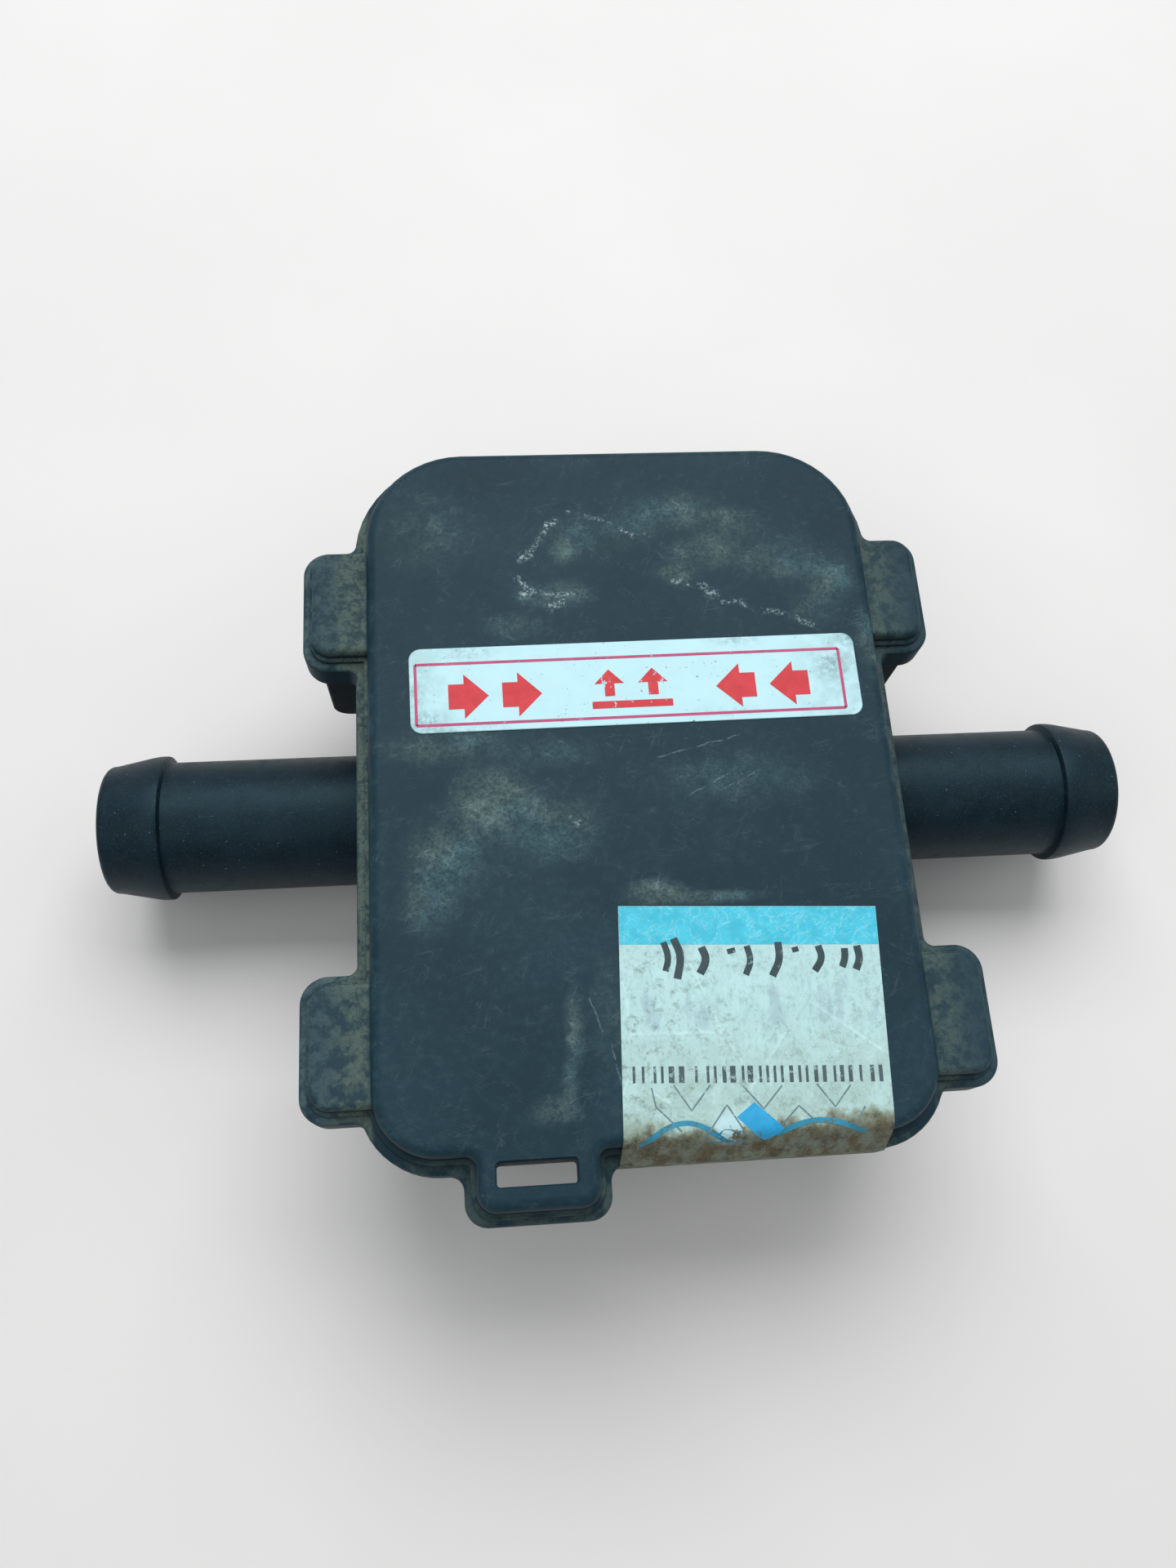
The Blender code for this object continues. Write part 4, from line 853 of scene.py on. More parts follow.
def flange_arcs():
    """The flange, the four ears and the tab in one outline with filleted inner corners."""
    foot_x, foot_y = FACE_HALF - FACE_R_FOOT, FACE_FOOT + FACE_R_FOOT
    top_x, top_y = FACE_HALF - FACE_R_TOP, FACE_TOP - FACE_R_TOP
    foot_r, top_r = FACE_R_FOOT + FLANGE_STEP, FACE_R_TOP + FLANGE_STEP
    wall = FACE_HALF + FLANGE_STEP
    upper, lower = EAR_CENTRES
    ear_x = EAR_REACH - EAR_R

    def corner_fillet(cx, cy, radius, y):
        """Where an ear's fillet meets a corner arc: its x and its angle."""
        across = math.sqrt((radius + FILLET) ** 2 - (y - cy) ** 2)
        return cx + across, math.degrees(math.atan2(y - cy, across))

    def ear_end(y):
        """The two round corners at an ear's end."""
        return [(ear_x, y - EAR_HALF + EAR_R, EAR_R, -90, 0), (ear_x, y + EAR_HALF - EAR_R, EAR_R, 0, 90)]

    low_y = lower - EAR_HALF - FILLET
    low_x, low_angle = corner_fillet(foot_x, foot_y, foot_r, low_y)
    high_y = upper + EAR_HALF + FILLET
    high_x, high_angle = corner_fillet(top_x, top_y, top_r, high_y)
    side = [(foot_x, foot_y, foot_r, -90, low_angle), (low_x, low_y, FILLET, 180 + low_angle, 90),
            *ear_end(lower), (wall + FILLET, lower + EAR_HALF + FILLET, FILLET, 270, 180),
            (wall + FILLET, upper - EAR_HALF - FILLET, FILLET, 180, 90), *ear_end(upper),
            (high_x, high_y, FILLET, 270, 180 + high_angle), (top_x, top_y, top_r, high_angle, 90)]
    root = FACE_FOOT - 2 * FLANGE_STEP
    tab = [(TAB_LEFT - FLANGE_STEP, root, FLANGE_STEP, 90, 0),
           (TAB_LEFT + TAB_R, TAB_END + TAB_R, TAB_R, 180, 270),
           (TAB_RIGHT - TAB_R, TAB_END + TAB_R, TAB_R, 270, 360),
           (TAB_RIGHT + FLANGE_STEP, root, FLANGE_STEP, 180, 90)]
    return [*side, *mirrored(side), *tab]


def make_lid():
    """The lid's shell with its hollows, hooks, slot and the ribs under its roof."""
    under = LID_FOOT - 0.3
    lid = upright("lid_shell", flange_arcs(), rim_down(0.25, LID_FOOT) + rim_up(0.45, FLANGE_TOP))
    raised = upright("raised", raised_arcs(), [*stepped_foot(0.46), *rim_up(FACE_ROUNDING, LID_TOP, 10)])
    hook = [(23.3, 13.0), (24.2, 13.0), (24.2, 15.2), (24.85, 16.4), (24.85, 16.9), (24.2, 16.9),
            (24.2, 24.0), (23.3, 24.0)]
    pads, hollows, hooks = [], [], []
    for centre in EAR_CENTRES:
        for side in (-1, 1):
            reach = EAR_HALF - PAD_LIP
            left, right = span(side, FACE_HALF - 3.0, EAR_REACH - PAD_LIP)
            arcs = box_arcs(left, right, centre - reach, centre + reach, 1.6)
            pads.append(upright("pad", arcs, [*stepped_foot(0.33), *rim_up(0.55, EAR_PAD_TOP)]))
            half = EAR_HALF - FLANGE_STEP
            left, right = span(side, 22.8, EAR_REACH - FLANGE_STEP - 0.4)
            hollows.append(block("hollow", left, right, centre - half + 0.4, centre + half - 0.4, under,
                                 EAR_ROOF, 1.2, 0.3))
            hooks.append(prism("hook", sided(hook, side), centre - 3.0, centre + 3.0, 0.12, 1))
    add(lid, raised, *pads)
    cavity = on_face_arcs("cavity", [(0.0, under), *rim_up(0.5, LID_UNDERSIDE)], -1.8)
    channel = on_face_arcs("channel", [(-0.1, under), (-0.1, CHANNEL_TOP)])
    tab_hollow = block("tab_hollow", TAB_LEFT + 2 * FLANGE_STEP, TAB_RIGHT - 2 * FLANGE_STEP,
                       TAB_END + 2 * FLANGE_STEP, FACE_FOOT - 0.6, under, LID_TOP - 1.6, 0.4, 0.2)
    slot = upright("slot", box_arcs(*SLOT, 0.25),
                   [(0.0, under), (0.0, LID_TOP - 0.18), (0.06, LID_TOP - 0.05), (0.2, LID_TOP + 0.05)])
    marks = [rod("mark", 1.6, LID_UNDERSIDE - 0.5, LID_UNDERSIDE + 0.12, turn_to("Z", x, y))
             for x in (-14.0, 14.0) for y in (-24.0, 22.0)]
    cut(lid, cavity, channel, tab_hollow, slot, *hollows, *marks)
    ribs = [block("rib", -19.9, 19.9, y - 0.5, y + 0.5, 23.7, LID_UNDERSIDE + 0.4, 0.1, 0.05)
            for y in (-19.2, 15.8)]
    add(lid, *hooks, *ribs)
    settle(lid, "lid_plastic", "lid", body="lid")


# ---------------------------------------------------------------- base housing
def pin_places():
    """Across, height, and where each pin turns up: upper row first."""
    return [(SOCKET_X + column * PIN_PITCH, SOCKET_Z + row * PIN_PITCH / 2,
             -17.2 + (PIN_PITCH if row < 0 else 0.0)) for row in (1, -1) for column in (-1, 0, 1)]


def make_lugs():
    """The four lugs, and the pocket and window to be cut in each."""
    profile = [(LUG_ROOT, LUG_FOOT), *arc(LUG_REACH - LUG_R, LUG_FOOT + LUG_R, LUG_R, 270, 360),
               (LUG_REACH, BASE_FLANGE[1]), (LUG_ROOT, BASE_FLANGE[1])]
    lugs, openings = [], []
    for centre in EAR_CENTRES:
        for side in (-1, 1):
            lugs.append(prism("lug", sided(profile, side), centre - LUG_HALF, centre + LUG_HALF, 0.3, 3))
            openings += [block("pocket", *span(side, 23.0, 24.9), centre - 3.6, centre + 3.6, LUG_FOOT - 0.5,
                               BASE_FLANGE[1] + 0.5, 0.2, 0.02),
                         block("window", *span(side, 24.6, LUG_REACH + 0.4), centre - 2.6, centre + 2.6,
                               15.0, 17.2, 0.2, 0.02)]
    return lugs, openings


def make_collars():
    """The collars round the tails, cut off level with the housing's back."""
    wall = WALL_SIDE
    profile = [(5.0, wall - 1.5), (8.6, wall - 1.5), (8.6, wall), (8.0, wall + 0.5), (7.7, wall + 0.9),
               (5.0, wall + 0.9)]
    collars = [revolve("collar", profile, turn_to(axis, 0, 0, AXIS_Z)) for axis in ("X", "-X")]
    for collar in collars:
        cut(collar, block("trim", -60, 60, -20, 20, -10.0, 0.01, 0.1, 0.001))
    return collars


def socket_box(name, z, half_x, half_z, corner, front, back, *edge):
    """A box with round corners drawn out along Y at the connector."""
    return prism(name, outline(around(SOCKET_X, z, half_x, half_z, corner)), front, back, *edge)


def make_base():
    """The box with its flange, rim, lugs, passages, bosses, posts and connector shroud."""
    base = on_face_arcs("base_shell", [*rim_down(0.8, 0.0), (0.0, BASE_FLANGE[1])], BODY_OFFSET)
    flange = on_face_arcs("flange", [*rim_down(0.3, BASE_FLANGE[0]), *rim_up(0.3, BASE_FLANGE[1])], 0.5)
    rim = on_face_arcs("rim", [(0.0, BASE_FLANGE[0]), *rim_up(0.3, BASE_RIM_TOP)], RIM_OFFSET)
    lugs, openings = make_lugs()
    collars = make_collars()
    shroud = socket_box("shroud", SOCKET_Z, 5.5, 4.4, 1.2, SHROUD_FRONT, -20.5, 0.2, 2)
    add(base, flange, rim, *lugs, *collars)
    cut(base, on_face_arcs("hollow", [*rim_down(0.6, BASE_FLOOR), (0.0, BASE_RIM_TOP + 0.5)], CAVITY_OFFSET))
    blocks = [block("gas_block", -19.35, 19.35, -8.3, 8.3, 1.0, 18.0, 0.3, 0.4),
              block("vacuum_block", VACUUM_X - 5, VACUUM_X + 5, 17.0, WALL_TOP - 0.3, 1.0, 15.4, 0.5, 0.3),
              block("socket_block", SOCKET_X - 6, SOCKET_X + 6, -29.8, -18.5, 1.0, 18.0, 0.4, 0.3)]
    posts = [rod("post", 2.2, 1.0, BOARD_LOW.z - 0.3, turn_to("Z", x, y), 0.2) for x, y in POSTS]
    gussets = [block("gusset", x - 0.5 if x > 0 else -20.0, 20.0 if x > 0 else x + 0.5, y - 0.6, y + 0.6,
                     1.0, 16.0, 0.1, 0.1) for x, y in POSTS]
    add(base, *blocks, shroud, *posts, *gussets)
    along = turn_to("X", 0, 0, AXIS_Z)
    passages = [rod("bore", BORE_R, -TAIL_INNER_END, TAIL_INNER_END, along, steps=64),
                rod("right_socket", 6.3, 11.0, WALL_SIDE + 2.0, along, steps=TURN_STEPS),
                rod("left_socket", 6.3, 11.0, WALL_SIDE + 2.0, turn_to("-X", 0, 0, AXIS_Z), steps=TURN_STEPS),
                block("sensor_pocket", -4.0, 9.0, -6.5, 6.5, 15.4, 18.5, 0.6, 0.02),
                rod("gas_port", 1.0, AXIS_Z, 15.7, turn_to("Z", *GAS_SENSOR)),
                rod("well", 1.3, AXIS_Z, 16.1, turn_to("Z", THERMISTOR_X, 0.0)),
                rod("seat", 2.6, 15.8, 18.5, turn_to("Z", THERMISTOR_X, 0.0)),
                rod("nipple_socket", 2.2, 18.5, WALL_TOP + 0.3, turn_to("Y", VACUUM_X, 0.0, VACUUM_Z)),
                rod("vacuum_port", 1.0, VACUUM_Z, 15.8, turn_to("Z", *MANIFOLD_SENSOR))]
    passages += [rod("hole", 1.15, 8.0, BOARD_LOW.z, turn_to("Z", x, y)) for x, y in POSTS]
    socket = socket_box("socket", SOCKET_Z, 4.3, 3.2, 0.35, -32.0, -20.5)
    keyway = socket_box("keyway", 16.425, 0.8, 0.425, 0.1, -32.0, -21.5)
    pin_holes = [rod("pin_hole", 0.6, -20.8, -18.2, turn_to("Y", x, 0.0, z), steps=16)
                 for x, z, rise in pin_places()]
    ejectors = [rod("ejector", 2.0, -0.5, 0.12, turn_to("Z", x, y)) for x in (-15.0, 15.0)
                for y in (-24.0, 20.0)]
    cut(base, *passages, socket, keyway, *pin_holes, *ejectors, *openings)
    settle(base, "base_plastic", "base_housing")


# ---------------------------------------------------------------- hose tails, nipple and seals
def make_tails():
    """Both barbed tails, the barb's edges rounded and the bore flared at its mouth."""
    crest = TAIL_TIP - 4.8
    barb = [(TAIL_R, crest - 0.86), (TAIL_R + 0.03, crest - 0.79), (TAIL_R + 0.12, crest - 0.74),
            (BARB_R - 0.13, crest - 0.66), (BARB_R - 0.05, crest - 0.60), (BARB_R - 0.012, crest - 0.48),
            (BARB_R, crest - 0.25), (BARB_R - 0.015, crest + 0.2), (BARB_R - 0.1, crest + 0.8)]
    taper = [(BARB_R - 0.1 - 0.66 * step / 6, crest + 0.8 + 3.2 * step / 6) for step in range(1, 7)]
    nose = [(5.23 + 0.6 * math.cos(math.radians(a)), TAIL_TIP - 0.62 + 0.62 * math.sin(math.radians(a)))
            for a in range(15, 91, 15)]
    profile = [(5.0, TAIL_INNER_END), (5.7, TAIL_INNER_END), (TAIL_R, 11.6), (TAIL_R, 14.0), (4.9, 14.0),
               (4.9, 16.0), (TAIL_R, 16.0), *[(TAIL_R, z) for z in (20.0, 25.0, 30.0, 35.0)], *barb, *taper,
               *nose, (4.55, TAIL_TIP), (4.2, TAIL_TIP - 0.12), (BORE_R, TAIL_TIP - 0.45),
               (BORE_R, TAIL_INNER_END)]
    for side, axis in (("left", "-X"), ("right", "X")):
        tail = revolve(f"hose_tail_{side}_body", profile, turn_to(axis, 0, 0, AXIS_Z))
        settle(tail, "tail_plastic", f"hose_tail_{side}")
        keep_node(f"tail_o_ring_{side}", "seal_rubber")


def make_nipple():
    """The barbed vacuum nipple with its collar, and the felt filter behind it."""
    tip = NIPPLE_HIGH.y
    collar = WALL_TOP + 0.3
    middle = turn_to("Y", VACUUM_X, 0.0, VACUUM_Z)
    profile = [(1.85, 22.6), (1.85, collar), (2.85, collar), (3.0, collar + 0.15), (3.0, collar + 0.95),
               (2.85, collar + 1.1), (2.4, collar + 1.25), (2.4, 31.5), (2.4, tip - 2.86),
               (2.82, tip - 2.8), (2.9, tip - 2.7), (2.9, tip - 2.5), (2.84, tip - 2.2), (2.3, tip - 0.35),
               (2.2, tip - 0.1), (2.05, tip), (1.3, tip), (1.1, tip - 0.2), (1.1, 22.6)]
    settle(revolve("vacuum_nipple_body", profile, middle, 64), "tail_plastic", "vacuum_nipple")
    felt = [(0.0, 20.4), (1.7, 20.4), (1.9, 20.6), (1.9, 22.1), (1.7, 22.3), (0.0, 22.3)]
    settle(revolve("vacuum_filter_felt", felt, middle, 32, closed=False), "filter_felt", "vacuum_filter")


def make_gasket():
    """The lid's gasket: a flat strip with a bead along its middle."""
    low, high = [corner.z for corner in box_mm("lid_gasket")]
    section = [(-1.8, low), (-0.4, low), (-0.4, low + 0.7), (-0.75, low + 0.8), (-0.85, high - 0.12),
               (-1.0, high - 0.02), (-1.1, high), (-1.2, high - 0.02), (-1.35, high - 0.12),
               (-1.45, low + 0.8), (-1.8, low + 0.7)]
    rings = [[(x, y, z) for x, y in outline(FACE_ARCS, offset)] for offset, z in section]
    vertices = [point for ring in rings for point in ring]
    gasket = mesh_object("lid_gasket_seal", vertices, skin(rings, wrap=True))
    settle(gasket, "seal_rubber", "lid_gasket", angle=50)


def make_sensors():
    """Both sensing elements with their stubs, washers, and the gas thermistor in its grommet."""
    stub_profile = [(0.5, 15.7), (1.1, 15.7), (1.2, 15.8), (1.2, 17.0), (0.5, 17.0)]
    washer = [(2.8, 15.85), (2.8, 16.35), (2.65, 16.5), (1.65, 16.5), (1.5, 16.35), (1.5, 15.85),
              (1.65, 15.7), (2.65, 15.7)]
    for place, (x, y) in (("gas", GAS_SENSOR), ("manifold", MANIFOLD_SENSOR)):
        body = upright("body", around(x, y, 4, 4, 0.5), [(-0.2, 16.8), (0.0, 17.0), *rim_up(0.3, 18.7, 3)])
        cap = upright("cap", around(x, y, 2.8, 2.8, 1.0), [(0.0, 18.5), *rim_up(0.15, 19.1, 3)])
        stub = revolve("stub", stub_profile, turn_to("Z", x, y), 32)
        sensor = gather(f"{place}_pressure_sensor_body", [body, cap, stub])
        settle(sensor, "sensor_ceramic", f"{place}_pressure_sensor")
        seal = revolve(f"{place}_port_washer", washer, turn_to("Z", x, y), 48)
        settle(seal, "port_silicone", f"{place}_port_seal")
    middle = turn_to("Z", THERMISTOR_X, 0.0)
    bead_profile = [(0.9 * math.sin(math.radians(a)), 14.2 - 0.9 * math.cos(math.radians(a)))
                    for a in range(0, 181, 12)]
    bead = revolve("bead", bead_profile, middle, 32, closed=False)
    leads = [rod("lead", 0.2, 14.2, PIN_TOP, turn_to("Z", THERMISTOR_X + side * 0.55, 0.0), 0.08, 12)
             for side in (-1, 1)]
    settle(gather("gas_thermistor_bead", [bead, *leads]), "thermistor_epoxy", "gas_thermistor")
    ring = [(2.3, 16.25), (2.3, 18.0), (2.15, 18.3), (1.25, 18.3), (1.1, 18.15), (1.1, 16.1), (2.15, 16.1)]
    settle(revolve("thermistor_grommet_ring", ring, middle, 48), "seal_rubber", "thermistor_grommet")


# ---------------------------------------------------------------- circuit board
def solder_cone(x, y, radius, height=0.75):
    """A wetted solder joint round a pin."""
    slope = [(radius * (1 - 0.75 * k / 5) + 0.02, BOARD_TOP + height * (k / 5) ** 2) for k in range(6)]
    profile = [(0.0, ON_BOARD), (radius + 0.02, ON_BOARD), *slope, (0.0, BOARD_TOP + height)]
    return revolve("solder", profile, turn_to("Z", x, y), 24, closed=False)


def flat_ring(inner, outer, rim, height, x, y, steps):
    """A flat ring of solder on the board; rim is its upper outside radius."""
    profile = [(inner, ON_BOARD), (outer, ON_BOARD), (rim, BOARD_TOP + height), (inner, BOARD_TOP + height)]
    return revolve("ring", profile, turn_to("Z", x, y), steps)


def via(x, y):
    """A small plated hole."""
    return flat_ring(0.14, 0.34, 0.32, 0.05, x, y, 16)


def pad_plate(x, y, width, depth, height=0.05):
    """A solder pad."""
    return block_at("pad", x, y, width, depth, ON_BOARD, BOARD_TOP + height, 0.08, 0.02)


def turned_about(turned, across, along):
    """A place or size given across and along a part, as x and y."""
    return (along, across) if turned else (across, along)


def small_part(kind, x, y, turned):
    """A two-ended chip part: its body, and its solder ends with their pads."""
    length, width, height = (1.6, 0.8, 0.5) if kind == "resistor" else (1.6, 0.85, 0.8)
    low = PART_FOOT
    body = block_at("body", x, y, *turned_about(turned, length - 0.5, width), low, low + height, 0.04, 0.04)
    ends = []
    for side in (-1, 1):
        ox, oy = turned_about(turned, side * (length / 2 - 0.16), 0.0)
        ends.append(block_at("end", x + ox, y + oy, *turned_about(turned, 0.34, width + 0.02), low - 0.05,
                             low + height + 0.01, 0.05, 0.05))
        ox, oy = turned_about(turned, side * (length / 2 + 0.05), 0.0)
        ends.append(pad_plate(x + ox, y + oy, *turned_about(turned, 0.7, 0.95)))
    return body, ends


def gull_leg(x, y, direction, body_half, reach, top, width=0.3):
    """A bent lead that leaves a package and stands on its pad."""
    out = Vector(direction)
    start = Vector((x, y, 0.0))
    gap = reach - body_half
    steps = [(body_half - 0.2, top), (body_half + 0.25 * gap, top),
             (body_half + 0.5 * gap, (top + PART_FOOT) / 2), (body_half + 0.62 * gap, PART_FOOT + 0.08),
             (reach, PART_FOOT + 0.08)]
    path = [start + out * distance + Vector((0, 0, z)) for distance, z in steps]
    section = [(-width / 2, -0.065), (width / 2, -0.065), (width / 2, 0.065), (-width / 2, 0.065)]
    return tube("leg", path, section, (-out.y, out.x, 0.0))


def line_plate(points, width, height=0.04):
    """A flat raised line along places on the board."""
    points = [Vector((x, y, BOARD_TOP + 0.02)) for x, y in points]
    sides = [Vector((-run.y, run.x, 0.0)) * width / 2 for run in runs_along(points)]
    left = [point + side for point, side in zip(points, sides)]
    right = [point - side for point, side in zip(points, sides)]
    lift = Vector((0.0, 0.0, height))
    return shell("line", [[p + lift for p in left], [p + lift for p in right]], [left, right])


def frame_lines(x, y, width, height):
    """Four raised marks round a part."""
    corners = [(x + sx * width / 2, y + sy * height / 2) for sx, sy in ((-1, -1), (1, -1), (1, 1), (-1, 1))]
    return [line_plate([corners[k], corners[(k + 1) % 4]], 0.12, 0.03) for k in range(4)]


# Traces on the board: places along each
TRACE_RUNS = [
    [(-12.14, -17.2), (-12.14, -11.0), (-13.6, -9.5), (-13.6, 3.0), (-11.6, 5.0), (-11.6, 12.0)],
    [(-9.6, -14.66), (-9.6, -4.0), (-10.6, -3.0), (-10.6, 4.0)],
    [(-7.06, -14.66), (-7.06, -8.0), (-6.0, -6.9), (-6.0, 3.4)],
    [(-7.06, -17.2), (-4.4, -19.5), (-0.6, -19.5), (0.4, -21.8), (2.0, -22.2)],
    [(2.0, -14.4), (2.0, -13.9)], [(7.72, -16.9), (5.4, -19.3), (5.0, -21.9), (2.6, -22.2)],
    [(12.3, -16.9), (12.3, -18.6), (13.4, -19.6)], [(4.4, -6.3), (8.0, -6.3), (9.0, -8.0)],
    [(-8.1, 0.0), (-9.0, 1.0), (-9.0, 4.2)], [(-6.9, 0.0), (-5.6, 1.2), (-5.6, 3.0)],
    [(5.5, 3.2), (7.8, 5.2)], [(5.5, -3.2), (9.0, -3.2), (10.4, -1.6), (10.4, 0.8)],
    [(6.0, 16.3), (5.0, 15.2), (5.0, 13.0)], [(12.0, 16.3), (12.6, 15.6), (12.6, 11.6)],
    [(16.4, 2.0), (16.9, 2.6), (16.9, 12.6), (15.0, 14.6)], [(16.9, -2.0), (16.9, -9.0)],
    [(-16.8, 4.0), (-16.8, 15.6)], [(-16.8, -10.0), (-16.8, 2.0)], [(-2.0, 18.6), (-2.0, 22.4), (4.0, 22.4)]]
# Chip parts: x, y, and whether they lie along the board
RESISTORS = [(-13.0, 12.0, False), (-13.0, 10.2, False), (-13.0, 8.4, False), (-13.0, 6.6, False),
             (-12.6, -5.0, True), (-11.0, -5.0, True), (-4.6, -5.2, True), (8.6, 6.0, False),
             (8.6, 8.0, False), (12.6, 10.4, True), (14.4, 10.4, True), (-4.0, 17.4, False),
             (0.4, 17.4, False), (7.6, -19.5, False), (12.2, -20.3, False), (-3.2, -9.4, True),
             (14.6, -4.2, True), (-15.6, -8.4, True)]
CAPACITORS = [(-12.8, 15.6, True), (-10.8, 15.6, True), (8.6, 10.2, False), (8.6, 12.2, False),
              (-6.0, 20.6, False), (-1.4, 20.6, False), (-4.8, -9.4, True), (12.4, -4.2, True),
              (10.2, -4.2, True), (-15.6, -4.6, True), (-3.6, -19.5, False), (15.4, -19.0, True),
              (-14.4, -19.8, True), (-14.0, 1.6, False)]


def make_processor(pads, traces, legs):
    """The processor with its legs, and a fan of traces from each side."""
    low, high = box_mm("signal_processor")
    (cx, cy), half = middle_of("signal_processor")[:2], (high.x - low.x) / 2
    body = upright("signal_processor_body", around(cx, cy, half, half, 0.2),
                   [(-0.25, low.z - 0.1), (0.0, low.z + 0.6), (0.0, low.z + 0.75), (-0.2, high.z - 0.04),
                    (-0.26, high.z)])
    cut(body, rod("dimple", 0.4, high.z - 0.08, high.z + 0.2, turn_to("Z", cx - 2.4, cy + 2.4), steps=20))
    settle(body, "chip_moulding", "signal_processor")
    for step in range(8):
        along = (step - 3.5) * 0.8
        for dx, dy in ((1, 0), (-1, 0), (0, 1), (0, -1)):
            x, y = (cx, cy + along) if dx else (cx + along, cy)
            legs.append(gull_leg(x, y, (dx, dy, 0), half, half + 1.0, BOARD_TOP + 0.85))
            px, py = x + dx * (half + 0.85), y + dy * (half + 0.85)
            pads.append(pad_plate(px, py, *turned_about(dy, 0.9, 0.42)))
            start, out = Vector((px, py)), Vector((dx, dy))
            bend = start + out * (0.5 + 0.2 * (step % 4))
            end = bend + out * (1.5 + 0.45 * (step % 4)) + Vector((-dy, dx)) * (0.35 * (step - 3.5))
            traces.append(line_plate([start, bend, end], 0.2))
            pads.append(via(end.x, end.y))


def make_regulator(pads, legs):
    """The regulator with its heat tab and two wide legs."""
    low, high = box_mm("voltage_regulator")
    x, y = middle_of("voltage_regulator")[:2]
    body = upright("voltage_regulator_body", box_arcs(low.x, high.x, low.y, high.y, 0.25),
                   [(-0.15, low.z - 0.15), (0.0, low.z + 0.9), (-0.12, high.z - 0.05), (-0.18, high.z)])
    settle(body, "chip_moulding", "voltage_regulator")
    pads.append(pad_plate(x, high.y + 0.6, 6.4, 2.6, 0.06))
    legs.append(block("heat_tab", x - 2.7, x + 2.7, high.y - 0.6, high.y + 1.1, BOARD_TOP + 0.07,
                      BOARD_TOP + 0.6, 0.3, 0.08))
    for side in (-1, 1):
        legs.append(gull_leg(x + side * 2.28, y, (0, -1, 0), 3.1, 5.2, BOARD_TOP + 1.1, 0.8))
        pads.append(pad_plate(x + side * 2.28, y - 4.9, 1.4, 1.6))


def make_capacitor(node, pads, legs, dark):
    """A moulded capacitor with its stripe, clips and pads."""
    low, high = box_mm(node)
    x, y = middle_of(node)[:2]
    body = upright(f"{node}_body", box_arcs(low.x, high.x, low.y, high.y, 0.2),
                   [(-0.1, low.z - 0.15), (0.0, low.z + 0.8), (-0.1, high.z - 0.05), (-0.16, high.z)])
    settle(body, "capacitor_moulding", node)
    dark.append(block("stripe", low.x + 0.15, high.x - 0.15, high.y - 1.5, high.y - 0.4, high.z - 0.05,
                      high.z + 0.015, 0.05, 0.005))
    for side in (-1, 1):
        end = y + side * (high.y - low.y) / 2
        legs.append(block("clip", x - 1.2, x + 1.2, end - 0.08, end + 0.08, PART_FOOT, BOARD_TOP + 1.3,
                          0.05, 0.05))
        pads.append(pad_plate(x, end + side * 0.3, 2.6, 1.5))


